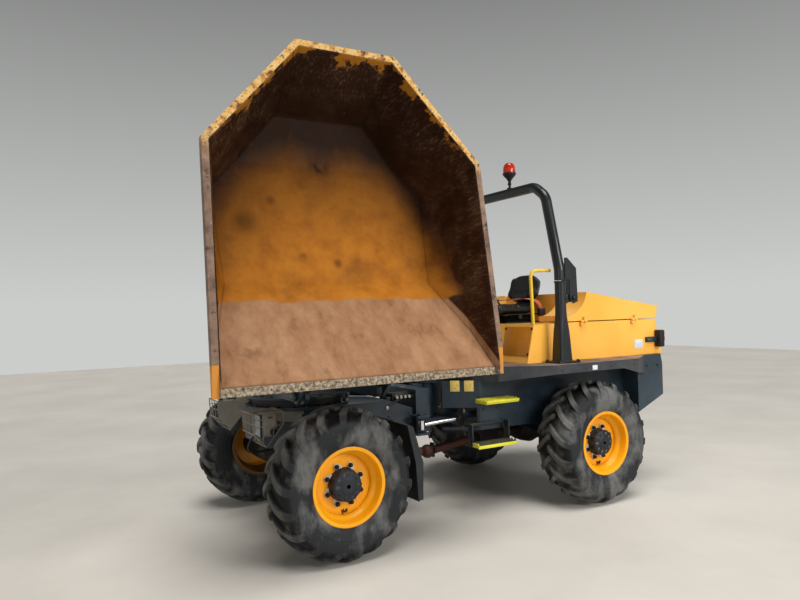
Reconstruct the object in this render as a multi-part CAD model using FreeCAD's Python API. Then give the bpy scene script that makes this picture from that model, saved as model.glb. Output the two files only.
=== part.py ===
import FreeCAD, Part
import math
import os
from FreeCAD import Vector

# Articulated site dumper with a swivel skip, in millimetres.
# X points forward, Y to the machine's left, Z up. The model is laid out from the ground
# under the rear axle's centre, and moved at the end so that the origin is the centre of
# its footprint.

# Clearances
RUN_GAP = 6.0            # between pieces that move past each other
SEAT_GAP = 0.3           # between a soft or curved piece and its seat
PIN_GAP = 0.6            # round a pin

# Wheels: tyre of 1060 x 405 on a 20 inch rim
WHEELBASE = 2457.0
HALF_TRACK = 908.0
AXLE_Z = 530.0
TYRE_R = 530.0
TYRE_W = 405.0
TREAD_R = 500.0          # between the lugs
SHOULDER_R = 448.0
BEAD_R = 254.0
LUG_PAIRS = 18
LUG_W = 56.0
LUG_SWEEP = 17.0         # degrees that a lug runs back on its way out
FLANGE_R = 274.0
FLANGE_HALF = 170.0
FLANGE_T = 8.0
RIM_WALL = 12.0
DISC_SET = 62.0          # disc's outer face, outwards of the wheel's middle
DISC_T = 16.0
HUB_R = 98.0
HUB_END = 150.0          # hub's end, outwards of the wheel's middle
STUD_COUNT = 8
STUD_PCR = 137.5

# Rear chassis
RAIL_HALF = 620.0
RAIL_T = 16.0
RAIL_LOW = 690.0
RAIL_REAR = -744.0
NOSE_BACK = 1000.0
NOSE_FRONT = 1250.0
NOSE_FRONT_HALF = 420.0
PIVOT_X = 1150.0
LUG_R = 80.0
PIVOT_PIN_R = 30.0
AXLE_NOSE = 250.0
BEAM_R = 76.0
SHAFT_R = 38.0
SHAFT_JOINT_R = 62.0
SHAFT_JOINT_Z = 430.0
LUG_T = 40.0
TOP_LUG_Z = 1060.0
LOW_LUG_Z = 700.0

# Deck
DECK_TOP = 1232.0
DECK_HALF = 1050.0
DECK_T = 14.0
SKIRT_T = 6.0
SKIRT_LOW = 1156.0
DECK_FRONT = 1030.0
SKIRT_FRONT_LOW = 1104.0
RAIL_TOP = DECK_TOP - DECK_T
NOSE_TOP = SKIRT_FRONT_LOW - SEAT_GAP

# Counterweight
CW_HALF = 800.0
CW_REAR = -1096.0
CW_TOP = DECK_TOP - DECK_T
CW_LOW = 693.0
TOW_BORE_R = 19.0
TOW_EAR_T = 25.0
TOW_GAP = 80.0
TOW_Z = 790.0
TOW_X = -1180.0

# Engine and transmission
ENGINE_BACK = -720.0
ENGINE_FRONT = 70.0
ENGINE_HALF = 300.0
ENGINE_TOP = 1480.0
GEARBOX_FRONT = 640.0
GEARBOX_Z = 480.0

# Bonnet and seat box
HOOD_HALF = 760.0
HOOD_WALL = 8.0
SPLIT_Z = 1575.0
HOOD_BASE = DECK_TOP + SEAT_GAP
HINGE_XS = (-78.0, -746.0)
HINGE_LEN = 34.0
HINGE_LEAF = 40.0
HINGE_Y = HOOD_HALF + 18.0
HINGE_Z = 1578.0
HINGE_R = 11.0
HINGE_PIN_R = 6.0
BOX_TOP = 1568.0
SEAT_X = 130.0
NOTCH_X = -160.0         # wall of the lid behind the seat
NOTCH_HALF = 400.0

WHEEL_CENTRE = Vector(735.0, 0.0, 1830.0)
WHEEL_LEAN = Vector(-0.42, 0.0, 0.9075)
COLUMN_R = 24.0

# Hoop
HOOP_Y = HOOD_HALF + 120.0
HOOP_X = 300.0
HOOP_R = 46.0
HOOP_JOINT_Z = 1940.0
HOOP_TOP_Z = 2804.0
HOOP_FOLD_X = 183.0
HOOP_FOLD_Z = 1790.0
HOOP_PIN_R = 14.0

# Front chassis
FRONT_X = WHEELBASE
SLEW_X = FRONT_X - 57.0
FRONT_HALF = 330.0
FRONT_TOP = 980.0
FRONT_LOW = 680.0
NECK_LOW = 672.0
FRONT_NOSE = FRONT_X + 323.0
FRONT_NOSE_HALF = 190.0
MAIN_BACK = FRONT_X - 677.0
POST_BACK = PIVOT_X + 150.0
POST_FRONT = PIVOT_X + 290.0
POST_HALF = 300.0
GUARD_OUT = FRONT_HALF + SEAT_GAP + 6.0
BASE_R = 420.0
BASE_T = 20.0
RING_R = 360.0
RING_BORE = 270.0
RING_TOP = 1058.0

# Turntable and tipping linkage, u forward of the slew axis when slewed forward
TABLE_R = 400.0
TABLE_T = 20.0
TIP_U = 850.0
TIP_Z = 1150.0
ARM_Y = 300.0
ARM_T = 25.0
ARM_TOP = 1245.0
ARM_LOW = 1092.0
RAM_BASE_U = -550.0
RAM_BASE_Z = 1155.0
RAM_EYE_S = 262.0        # eye on the skip: back from the lip, along the rim's plane
RAM_EYE_E = 607.8        # and below the rim's plane
RAM_R = 50.0
RAM_ROD_R = 28.0
RAM_BARREL = 950.0
RAM_CLOSING = 292.0

# Skip, s back from the lip and e below the rim's plane
SLEW_REST = 90.0         # degrees to the left, as it stands
TIP_REST = 82.0          # degrees between the rim's plane and level
LIP_U = 1397.0
LIP_Z = 1303.0
SKIP_WALL = 8.0
RIM_OUT = 53.0           # rim's width, from the bowl's inside
RIM_DEEP = 50.0
RIM_HALF = 1055.0        # rim's outer half width at the lip
SHOULDER_S = 1515.0
SHOULDER_HALF = 1037.0
BACK_S = 2259.0
BACK_HALF = 377.0
LIP_BAR = 54.0           # wear bar's height below the floor's edge
LIP_SET = 45.0           # floor's edge below the rim's plane
FOLD_S = 706.0
FOLD_E = 520.0
HEEL_S = 1600.0
HEEL_E = 600.0
RISE_S = 1955.0
RISE_E = 548.0
RISE_HALF = 358.0

# Steering ram
STEER_BASE = Vector(520.0, 450.0, 812.0)
STEER_EYE = Vector(1440.0, 375.0, 750.0)
STEER_RAM_R = 42.0
STEER_BARREL = 582.0
STEER_CLOSING = 262.0
STEER_ROD_R = 20.0
STEER_PIN_R = 18.0


def box(x0, x1, y0, y1, z0, z1):
    return Part.makeBox(x1 - x0, y1 - y0, z1 - z0, Vector(x0, y0, z0))


def rod(start, end, radius):
    run = end - start
    return Part.makeCylinder(radius, run.Length, start, run)


def tube(start, end, radius, bore):
    return rod(start, end, radius).cut(rod(start, end, bore))


def along_y(x, z, y0, y1, radius):
    return rod(Vector(x, y0, z), Vector(x, y1, z), radius)


def upright(x, y, z0, z1, radius):
    return rod(Vector(x, y, z0), Vector(x, y, z1), radius)


def face_of(points):
    return Part.Face(Part.makePolygon(points + points[:1]))


def side_plate(outline, y0, y1):
    """Outline in X and Z, pushed from y0 to y1."""
    return face_of([Vector(x, y0, z) for x, z in outline]).extrude(Vector(0, y1 - y0, 0))


def flat_plate(outline, z0, z1):
    """Outline in X and Y, pushed from z0 to z1."""
    return face_of([Vector(x, y, z0) for x, y in outline]).extrude(Vector(0, 0, z1 - z0))


def cross_plate(outline, x0, x1):
    """Outline in Y and Z, pushed from x0 to x1."""
    return face_of([Vector(x0, y, z) for y, z in outline]).extrude(Vector(x1 - x0, 0, 0))


def mirrored(shape):
    return shape.mirror(Vector(0, 0, 0), Vector(0, 1, 0))


def both_sides(shape):
    return [shape, mirrored(shape)]


def fused(shapes):
    shape = shapes[0]
    if len(shapes) > 1:
        shape = shape.multiFuse(shapes[1:])
    return shape.removeSplitter()


def group(shapes):
    return Part.makeCompound(shapes)


def pipe(points, radius, bend):
    """Round bar along straight runs joined by tangent arcs of one bend radius."""
    edges = []
    start = points[0]
    for before, corner, after in zip(points, points[1:], points[2:]):
        back = (before - corner).normalize()
        ahead = (after - corner).normalize()
        half = math.acos(max(-1.0, min(1.0, back.dot(ahead)))) / 2
        reach = bend / math.tan(half)
        first = corner + back * reach
        last = corner + ahead * reach
        middle = (back + ahead).normalize()
        centre = corner + middle * (bend / math.sin(half))
        edges.append(Part.LineSegment(start, first).toShape())
        edges.append(Part.Arc(first, centre - middle * bend, last).toShape())
        start = last
    edges.append(Part.LineSegment(start, points[-1]).toShape())
    ring = Part.Wire(Part.Circle(points[0], points[1] - points[0], radius).toShape())
    return Part.Wire(edges).makePipeShell([ring], True, False)


def turned(profile, x, z):
    """Outline of y and radius, turned about the axle line through x and z."""
    points = [Vector(x, y, z + r) for y, r in profile]
    return face_of(points).revolve(Vector(x, 0, z), Vector(0, 1, 0), 360)


def polar(x, z, y, radius, degrees):
    a = math.radians(degrees)
    return Vector(x + radius * math.cos(a), y, z + radius * math.sin(a))


def ruled_solid(first, last):
    """Solid between two outlines with the same number of points."""
    wires = [Part.makePolygon(points + points[:1]) for points in (first, last)]
    return Part.makeLoft(wires, True, True)


# Wheels

def lug_ring(y, back, foot, top, side):
    """Ring of the tread: for each bar its two feet in the groove and its two top edges."""
    half_deg = math.degrees(LUG_W / 2 / TYRE_R)
    top_deg = half_deg * 0.8
    step = 360.0 / LUG_PAIRS
    first = 0.0 if side > 0 else step / 2
    # columns: degrees from the bar's middle, radius
    edges = ((-half_deg, foot), (-top_deg, top), (top_deg, top), (half_deg, foot))
    return [(first + i * step - back + turn, side * y, radius) for i in range(LUG_PAIRS) for turn, radius in edges]


def round_ring(y, radius, side):
    """Ring of the side wall or the bead, in as many flats as both sides have bars."""
    step = 180.0 / LUG_PAIRS
    return [(i * step - LUG_SWEEP, side * y, radius) for i in range(2 * LUG_PAIRS)]


def zipped(ring, after):
    """Triangles that join two rings, whose points run in the order of their degrees."""
    near = min(range(len(after)), key=lambda k: abs((after[k][0] - ring[0][0] + 180) % 360 - 180))
    after = after[near:] + after[:near]
    lead = (after[0][0] - ring[0][0] + 180) % 360 - 180
    tracks = []
    for points, start in ((ring, 0.0), (after, lead)):
        turns = [start + (point[0] - points[0][0]) % 360 for point in points] + [start + 360.0]
        tracks.append((turns, [polar(0, 0, y, radius, deg) for deg, y, radius in points + points[:1]]))
    (turns_a, a), (turns_b, b) = tracks
    i = j = 0
    faces = []
    while i + 1 < len(a) or j + 1 < len(b):
        if j + 1 == len(b) or (i + 1 < len(a) and turns_a[i] + turns_a[i + 1] <= turns_b[j] + turns_b[j + 1]):
            faces.append(face_of([a[i], a[i + 1], b[j]]))
            i += 1
        else:
            faces.append(face_of([a[i], b[j + 1], b[j]]))
            j += 1
    return faces


def tyre_shape():
    """Carcass and tread in one skin of flat facets, its bars swept back left and right in turn."""
    half = TYRE_W / 2
    bead_r = (BEAD_R + SEAT_GAP) / math.cos(math.pi / (2 * LUG_PAIRS))
    # columns: distance from the tyre's middle, degrees back, groove's radius, bar's radius
    tread = [(2.0, 0.0, TREAD_R, TYRE_R), (half * 0.38, LUG_SWEEP * 0.46, TREAD_R - 4, TYRE_R - 2),
             (half * 0.72, LUG_SWEEP * 0.8, TREAD_R - 17, TYRE_R - 24),
             (half * 0.96, LUG_SWEEP, SHOULDER_R - 12, SHOULDER_R)]
    rings = []
    for side in (1, -1):
        part = [lug_ring(y, back, foot, top, side) for y, back, foot, top in tread]
        part += [round_ring(half, 392.0, side), round_ring(bead_y(), bead_r, side)]
        rings = part[::-1] if side > 0 else rings + part
    faces = []
    for ring, after in zip(rings, rings[1:] + rings[:1]):
        faces += zipped(ring, after)
    solid = Part.makeSolid(Part.makeShell(faces))
    if solid.Volume < 0:
        solid.reverse()
    return solid.removeSplitter()


def bead_y():
    """Half width between the tyre's toes, clear of the rim's flanges up to their edge."""
    return FLANGE_HALF - FLANGE_T - 7.0


def rim_shape():
    """Rim, disc and planetary hub of a left wheel, its outer side towards +Y."""
    well = BEAD_R - 38
    inside = FLANGE_HALF - FLANGE_T
    barrel = [(-FLANGE_HALF, FLANGE_R), (-inside, FLANGE_R), (-inside, BEAD_R),
              (-90.0, BEAD_R - 4), (-60.0, well), (DISC_SET + 10, well), (DISC_SET + 45, BEAD_R - 4),
              (inside, BEAD_R), (inside, FLANGE_R), (FLANGE_HALF, FLANGE_R),
              (FLANGE_HALF, BEAD_R - RIM_WALL), (DISC_SET + 50, BEAD_R - RIM_WALL - 4),
              (DISC_SET + 14, well - RIM_WALL), (-64.0, well - RIM_WALL),
              (-94.0, BEAD_R - RIM_WALL - 4), (-FLANGE_HALF, BEAD_R - RIM_WALL)]
    disc = [(DISC_SET - DISC_T, 0.0), (DISC_SET - DISC_T, well - 6), (DISC_SET, well - 6),
            (DISC_SET, HUB_R), (HUB_END - 22, HUB_R - 4), (HUB_END, HUB_R - 34), (HUB_END, 0.0)]
    studs = []
    for i in range(STUD_COUNT):
        seat = polar(0, 0, DISC_SET - 4, STUD_PCR, (i + 0.5) * 360.0 / STUD_COUNT)
        studs.append(rod(seat, seat + Vector(0, 34, 0), 15.0))
    return fused([turned(barrel, 0, 0), turned(disc, 0, 0)] + studs)


def wheels():
    tyre = tyre_shape()
    rim = rim_shape()
    nodes = {}
    # columns: name, axle's X, side
    for name, x, side in (("front_left", WHEELBASE, 1), ("front_right", WHEELBASE, -1),
                          ("rear_left", 0.0, 1), ("rear_right", 0.0, -1)):
        place = Vector(x, side * HALF_TRACK, AXLE_Z)
        for kind, shape in (("tyre", tyre), ("rim", rim)):
            piece = shape.copy() if side > 0 else mirrored(shape)
            piece.translate(place)
            nodes[kind + "_" + name] = piece
    return nodes


def axle(x, nose_side):
    """Beam axle with its differential, and the hub carriers that the wheels turn on."""
    end = HALF_TRACK + DISC_SET - DISC_T - SEAT_GAP
    beam = turned([(0.0, 0.0), (0.0, 138.0), (90.0, 132.0), (190.0, BEAM_R), (470.0, BEAM_R),
                   (520.0, 110.0), (end, 110.0), (end, 0.0)], x, AXLE_Z)
    nose = rod(Vector(x, 0, AXLE_Z), Vector(x + nose_side * AXLE_NOSE, 0, AXLE_Z), 75.0)
    return fused([beam, mirrored(beam), nose])


# Rear chassis

def frame_rails():
    front = NOSE_BACK - RAIL_T
    outline = [(front, RAIL_LOW), (front, RAIL_TOP), (RAIL_REAR, RAIL_TOP),
               (RAIL_REAR, RAIL_LOW), (-260.0, RAIL_LOW), (-200.0, RAIL_LOW - 30),
               (300.0, RAIL_LOW - 30), (500.0, RAIL_LOW)]
    return group(both_sides(side_plate(outline, RAIL_HALF - RAIL_T, RAIL_HALF)))


def axle_saddle():
    """Two plates between the rails that sit on the rear axle's beam."""
    seat_z = AXLE_Z + BEAM_R - 10
    pads = [box(-110, 110, side * 380 - 60, side * 380 + 60, seat_z, RAIL_LOW - 14)
            for side in (1, -1)]
    floor = box(-200, 200, -RAIL_HALF + RAIL_T, RAIL_HALF - RAIL_T, RAIL_LOW - 14, RAIL_LOW)
    beam = along_y(0, AXLE_Z, -RAIL_HALF, RAIL_HALF, BEAM_R + SEAT_GAP)
    return fused(pads + [floor]).cut(beam)


def frame_nose():
    """Tapered cheeks, pivot lugs one above the other, and the bulkhead that carries them."""
    inner_back = RAIL_HALF - RAIL_T
    cheek = flat_plate([(NOSE_BACK - RAIL_T, RAIL_HALF), (NOSE_BACK, RAIL_HALF),
                        (NOSE_FRONT, NOSE_FRONT_HALF), (NOSE_FRONT, NOSE_FRONT_HALF - RAIL_T),
                        (NOSE_BACK, inner_back), (NOSE_BACK - RAIL_T, inner_back)],
                       RAIL_LOW, NOSE_TOP)
    window = box(NOSE_BACK + 20, NOSE_FRONT + 1, NOSE_FRONT_HALF - 40, RAIL_HALF, 712, 880)
    bulkhead = box(NOSE_BACK - RAIL_T, NOSE_BACK, -inner_back, inner_back, RAIL_LOW, RAIL_TOP)
    ram_way = box(NOSE_BACK - RAIL_T - 1, NOSE_BACK + 1, 255, 580, RAIL_LOW + 10, 900)
    pieces = [cheek.cut(window), mirrored(cheek), bulkhead.cut(ram_way)]
    for z in (LOW_LUG_Z, TOP_LUG_Z):
        root = flat_plate([(NOSE_BACK - 1, -170), (PIVOT_X, -LUG_R), (PIVOT_X, LUG_R),
                           (NOSE_BACK - 1, 170)], z, z + LUG_T)
        pieces += [root, upright(PIVOT_X, 0, z, z + LUG_T, LUG_R)]
    pin = upright(PIVOT_X, 0, LOW_LUG_Z - 12, TOP_LUG_Z + LUG_T + 14, PIVOT_PIN_R)
    cap = upright(PIVOT_X, 0, TOP_LUG_Z + LUG_T, TOP_LUG_Z + LUG_T + 14, PIVOT_PIN_R + 22)
    return fused(pieces + [pin, cap])


def steer_bracket():
    """Bracket inside the left rail for the steering ram's foot."""
    base = STEER_BASE
    plates = [box(base.x - 60, base.x + 50, base.y - 50, RAIL_HALF - RAIL_T,
                  base.z + side * 64 - 10, base.z + side * 64 + 10) for side in (1, -1)]
    pin = upright(base.x, base.y, base.z - 74, base.z + 74, STEER_PIN_R)
    return fused(plates + [pin])


def deck():
    """Flat plate over the rear wheels and under the operator's feet, with its skirt."""
    rear = -467.0
    half = [(DECK_FRONT, 0.0), (DECK_FRONT, 560.0), (920.0, 780.0), (510.0, DECK_HALF),
            (rear, DECK_HALF), (CW_REAR + 260, CW_HALF + 8), (CW_REAR + 260, CW_HALF),
            (CW_REAR + 18, CW_HALF), (CW_REAR + 18, 0.0)]
    skirt_outer = [(920.0, 780.0), (510.0, DECK_HALF), (-275.0, DECK_HALF)]
    engine_way = box(ENGINE_BACK - 10, ENGINE_FRONT + 10, -1, ENGINE_HALF + 200, SKIRT_LOW, DECK_TOP + 1)
    top = flat_plate(half, DECK_TOP - DECK_T, DECK_TOP).cut(engine_way)
    pieces = [top]
    # columns: from, to, lower edge at from, lower edge at to
    runs = [((DECK_FRONT, 560.0), skirt_outer[0], 1104.0, 1104.0),
            (skirt_outer[0], skirt_outer[1], 1104.0, SKIRT_LOW),
            (skirt_outer[1], skirt_outer[2], SKIRT_LOW, SKIRT_LOW),
            (skirt_outer[2], (rear, DECK_HALF), SKIRT_LOW, 1104.0),
            ((rear, DECK_HALF), (CW_REAR + 260, CW_HALF + 8), 1104.0, 1060.0)]
    for (x0, y0), (x1, y1), z0, z1 in runs:
        inward = Vector(y0 - y1, x1 - x0, 0)
        inward.normalize()
        if inward.y > 0:
            inward = inward * -1
        a = [Vector(x0, y0, z0), Vector(x1, y1, z1), Vector(x1, y1, DECK_TOP), Vector(x0, y0, DECK_TOP)]
        pieces.append(face_of(a).extrude(inward * SKIRT_T))
    left = fused(pieces)
    return fused([left, mirrored(left)])


def counterweight():
    """Cast block across the rear, chamfered towards the rear wheels, with a recess for the jaw."""
    outline = [(CW_REAR + 20, CW_TOP), (-800.0, CW_TOP), (RAIL_REAR, 1090.0), (RAIL_REAR, CW_LOW),
               (CW_REAR, CW_LOW + 145), (CW_REAR, 838.0 + 300)]
    block = side_plate(outline, -CW_HALF, CW_HALF)
    return block


def tow_jaw():
    """Two ears with a bore for the tow pin, on a back plate."""
    zs = (TOW_Z - TOW_GAP / 2 - TOW_EAR_T, TOW_Z + TOW_GAP / 2)
    reach = CW_REAR
    back = box(reach - 16, reach, -90, 90, zs[0] - 20, zs[1] + TOW_EAR_T + 20)
    pieces = [back]
    for z in zs:
        ear = flat_plate([(reach - 15, -80), (TOW_X, -45), (TOW_X, 45), (reach - 15, 80)],
                         z, z + TOW_EAR_T)
        pieces += [ear, upright(TOW_X, 0, z, z + TOW_EAR_T, 45.0)]
    bore = upright(TOW_X, 0, zs[0] - 1, zs[1] + TOW_EAR_T + 1, TOW_BORE_R)
    return fused(pieces).cut(bore)


def engine_block():
    return box(ENGINE_BACK, ENGINE_FRONT, -ENGINE_HALF, ENGINE_HALF, RAIL_LOW + 100, ENGINE_TOP)


def transmission():
    """Gearbox behind the engine, with its drop box and output flanges."""
    case = box(ENGINE_FRONT + SEAT_GAP, GEARBOX_FRONT, -230, 230, 700, 980)
    drop = box(430, GEARBOX_FRONT, -130, 130, 400, 700)
    ahead = rod(Vector(GEARBOX_FRONT, 0, GEARBOX_Z), Vector(GEARBOX_FRONT + 40, 0, GEARBOX_Z), 70.0)
    behind = rod(Vector(390, 0, AXLE_Z), Vector(431, 0, AXLE_Z), 60.0)
    return fused([case, drop, ahead, behind])


def prop_shafts():
    """Short shaft back to the rear axle, and the one forward to the joint under the pivot."""
    back = rod(Vector(AXLE_NOSE + SEAT_GAP, 0, AXLE_Z), Vector(390 - SEAT_GAP, 0, AXLE_Z), SHAFT_R)
    joint = Vector(PIVOT_X, 0, SHAFT_JOINT_Z)
    flange = Vector(GEARBOX_FRONT + 40 + SEAT_GAP, 0, GEARBOX_Z)
    dip = SHAFT_R * abs((joint - flange).normalize().z)
    ahead = rod(flange + Vector(dip, 0, 0), joint, SHAFT_R)
    return group([back, fused([ahead, Part.makeSphere(SHAFT_JOINT_R, joint)])])


# Bonnet, seat box and operator's place

def hood_outline():
    """Side view of the lower bonnet."""
    return [(80.0, HOOD_BASE), (-1140.0, HOOD_BASE), (-1060.0, SPLIT_Z - 2), (120.0, SPLIT_Z - 2)]


def shell_of(outline, inner, half):
    return side_plate(outline, -half, half).cut(side_plate(inner, -half + HOOD_WALL, half - HOOD_WALL))


def hinge_rod(x0, x1, radius):
    return rod(Vector(x0, HINGE_Y, HINGE_Z), Vector(x1, HINGE_Y, HINGE_Z), radius)


def hinge_knuckle(x, up):
    """Eye of a bonnet hinge forward of x, with its leaf against the side wall."""
    z0, z1 = sorted((HINGE_Z + up * 8, HINGE_Z + up * HINGE_LEAF))
    leaf = box(x, x + HINGE_LEN, HOOD_HALF - HOOD_WALL / 2, HINGE_Y + 4, z0, z1)
    return fused([hinge_rod(x, x + HINGE_LEN, HINGE_R), leaf])


def lower_bonnet():
    w = HOOD_WALL
    inner = [(80.0 - w, HOOD_BASE - 1), (-1140.0 + w, HOOD_BASE - 1),
             (-1060.0 + w, SPLIT_Z), (120.0 - w, SPLIT_Z)]
    seat_way = box(0, 200, -NOTCH_HALF, NOTCH_HALF, BOX_TOP - 12 - SEAT_GAP, SPLIT_Z)
    shell = shell_of(hood_outline(), inner, HOOD_HALF).cut(seat_way)
    knuckles = [hinge_knuckle(x + RUN_GAP / 2, -1) for x in HINGE_XS]
    pins = [hinge_rod(x - RUN_GAP - HINGE_LEN, x + RUN_GAP, HINGE_PIN_R) for x in HINGE_XS]
    return fused([shell] + knuckles + pins)


def bonnet_lid():
    """Lid with a hollow front face behind the seat, closed all round and open below."""
    w = HOOD_WALL
    base = SPLIT_Z + 6

    def outline(inset, low):
        corner = Vector(120.0 - inset, 0, low)
        sill = Vector(120.0 - inset, 0, 1632.0 - inset)
        lip = Vector(96.0 - inset, 0, 1632.0 - inset)
        brow = Vector(-140.0 - inset, 0, 1845.0 - inset)
        mid = Vector(-62.0 - inset * 0.8, 0, 1700.0 - inset * 0.8)
        tail = Vector(-1100.0 + inset, 0, 1700.0 - inset)
        heel = Vector(-1066.0 + inset, 0, low)
        edges = [Part.LineSegment(corner, sill).toShape(), Part.LineSegment(sill, lip).toShape(),
                 Part.Arc(lip, mid, brow).toShape(), Part.LineSegment(brow, tail).toShape(),
                 Part.LineSegment(tail, heel).toShape(), Part.LineSegment(heel, corner).toShape()]
        return Part.Face(Part.Wire(edges))

    outer = outline(0, base)
    outer.translate(Vector(0, -HOOD_HALF, 0))
    inner = outline(w, base - 1)
    inner.translate(Vector(0, -HOOD_HALF + w, 0))
    notch = box(NOTCH_X, 200, -NOTCH_HALF, NOTCH_HALF, base - 2, 1900)
    wide_notch = box(NOTCH_X - w, 200, -NOTCH_HALF - w, NOTCH_HALF + w, base - 2, 1900)
    body = outer.extrude(Vector(0, 2 * HOOD_HALF, 0)).cut(notch)
    hollow = inner.extrude(Vector(0, 2 * (HOOD_HALF - w), 0)).cut(wide_notch)
    knuckles = [hinge_knuckle(x - RUN_GAP / 2 - HINGE_LEN, 1) for x in HINGE_XS]
    bores = [hinge_rod(x - 2 * HINGE_LEN, x, HINGE_PIN_R + PIN_GAP) for x in HINGE_XS]
    return fused([body.cut(hollow)] + knuckles).cut(group(bores))


def seat_box():
    """Box that the seat stands on, flush with the bonnet, with a pocket beside each hoop leg."""
    side = [(588.0, HOOD_BASE), (501.0, BOX_TOP), (130.0, BOX_TOP), (92.0, HOOD_BASE)]
    inner = [(588.0 - HOOD_WALL, HOOD_BASE - 1), (501.0 - HOOD_WALL, BOX_TOP - HOOD_WALL),
             (130.0 + HOOD_WALL, BOX_TOP - HOOD_WALL), (92.0 + HOOD_WALL, HOOD_BASE - 1)]
    body = side_plate(side, -HOOD_HALF, HOOD_HALF)
    hollow = side_plate(inner, -HOOD_HALF + 70, HOOD_HALF - 70)
    pocket = box(60, 345, HOOD_HALF - 60, HOOD_HALF + 1, HOOD_BASE - 1, BOX_TOP + 1)
    shelf = box(NOTCH_X + RUN_GAP, 140, -NOTCH_HALF + RUN_GAP, NOTCH_HALF - RUN_GAP, BOX_TOP - 12, BOX_TOP)
    return fused([body.cut(hollow).cut(group(both_sides(pocket))), shelf])


def seat_parts():
    """Seat base with its bellows, and the plain solids of the cushion and the back."""
    x = SEAT_X
    base_plate = box(x - 190, x + 230, -215, 215, BOX_TOP, BOX_TOP + 14)
    bellows = box(x - 160, x + 200, -190, 190, BOX_TOP + 14, BOX_TOP + 78)
    pan = box(x - 190, x + 240, -225, 225, BOX_TOP + 78, BOX_TOP + 92)
    foot_z = BOX_TOP + 92

    def lean_x(z):
        return x - 140 - (z - foot_z) * 0.29

    spine_top = foot_z + 300
    spine = side_plate([(lean_x(foot_z - 10), foot_z - 10), (lean_x(foot_z - 10) - 30, foot_z - 10),
                        (lean_x(spine_top) - 24, spine_top), (lean_x(spine_top), spine_top)], -120, 120)
    cushion_z = BOX_TOP + 92 + SEAT_GAP
    cushion = side_plate([(x - 140, cushion_z), (x + 330, cushion_z), (x + 345, cushion_z + 60),
                          (x + 320, cushion_z + 105), (x - 130, cushion_z + 80)], -240, 240)
    low, high = cushion_z + 90, BOX_TOP + 500
    back = side_plate([(lean_x(low) + SEAT_GAP, low), (lean_x(low) + 60, low + 10),
                       (lean_x(low + 120) + 92, low + 120), (lean_x(high) + 62, high),
                       (lean_x(high - 20) + SEAT_GAP, high - 20)], -235, 235)
    return fused([base_plate, bellows, pan, spine]), cushion, back


def console():
    """Steering column's housing at the front of the deck, leaning towards the seat."""
    low = [Vector(800, -190, DECK_TOP), Vector(980, -190, DECK_TOP),
           Vector(980, 190, DECK_TOP), Vector(800, 190, DECK_TOP)]
    top = [Vector(790, -170, 1690), Vector(905, -170, 1690), Vector(905, 170, 1690), Vector(790, 170, 1690)]
    head = side_plate([(790, 1690), (905, 1690), (880, 1800), (800, 1770)], -170, 170)
    column = rod(WHEEL_CENTRE - WHEEL_LEAN * 120, WHEEL_CENTRE, COLUMN_R + SEAT_GAP)
    return fused([ruled_solid(low, top), head]).cut(column)


def steering_wheel():
    ring = Part.makeTorus(185.0, 15.0, WHEEL_CENTRE, WHEEL_LEAN)
    hub = Part.makeCylinder(45.0, 30.0, WHEEL_CENTRE - WHEEL_LEAN * 22, WHEEL_LEAN)
    column = rod(WHEEL_CENTRE - WHEEL_LEAN * 110, WHEEL_CENTRE, COLUMN_R)
    across = Vector(0, 1, 0)
    down = WHEEL_LEAN.cross(across)
    spokes = []
    for degrees in (90.0, 210.0, 330.0):
        a = math.radians(degrees)
        tip = WHEEL_CENTRE + (across * math.cos(a) + down * math.sin(a)) * 183.0
        spokes.append(rod(WHEEL_CENTRE - WHEEL_LEAN * 6, tip, 11.0))
    return fused([ring, hub, column] + spokes)


def control_levers():
    pieces = []
    for x, y in ((330.0, -330.0), (330.0, -400.0)):
        stick = rod(Vector(x, y, BOX_TOP + 2), Vector(x + 30, y, BOX_TOP + 150), 8.0)
        knob = Part.makeSphere(20.0, Vector(x + 32, y, BOX_TOP + 160))
        pieces.append(fused([stick, knob]))
    return group(pieces)


def grab_rails():
    """Rail each side, from the seat box up and back to the hoop's leg."""
    y = HOOD_HALF - 22
    rail = pipe([Vector(488, y, BOX_TOP + 1), Vector(505, y, 2037), Vector(330, y + 60, 2037)], 15.0, 55.0)
    return group(both_sides(rail))


def steps():
    """Upper nosing and hung lower tread on each side."""
    near, far = RAIL_HALF + 20, RAIL_HALF + 170
    upper = box(712, 1060, RAIL_HALF + SEAT_GAP, far, 925, 955)
    tread = box(750, 1150, near, far, 572, 602)
    hangers = [box(x, x + 14, near, near + 60, 602, RAIL_LOW) for x in (752.0, 1134.0)]
    lower = fused([tread, box(752, 1148, RAIL_HALF - RAIL_T, near, RAIL_LOW - 30, RAIL_LOW)] + hangers)
    return group(both_sides(upper) + both_sides(lower))


def tail_lamps():
    arm = box(-1040, -907, HOOD_HALF, HOOD_HALF + 30, 1350, 1400)
    lamp = box(-1110, -1040, HOOD_HALF, HOOD_HALF + 75, 1300, 1465)
    return group(both_sides(fused([arm, lamp])))


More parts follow.
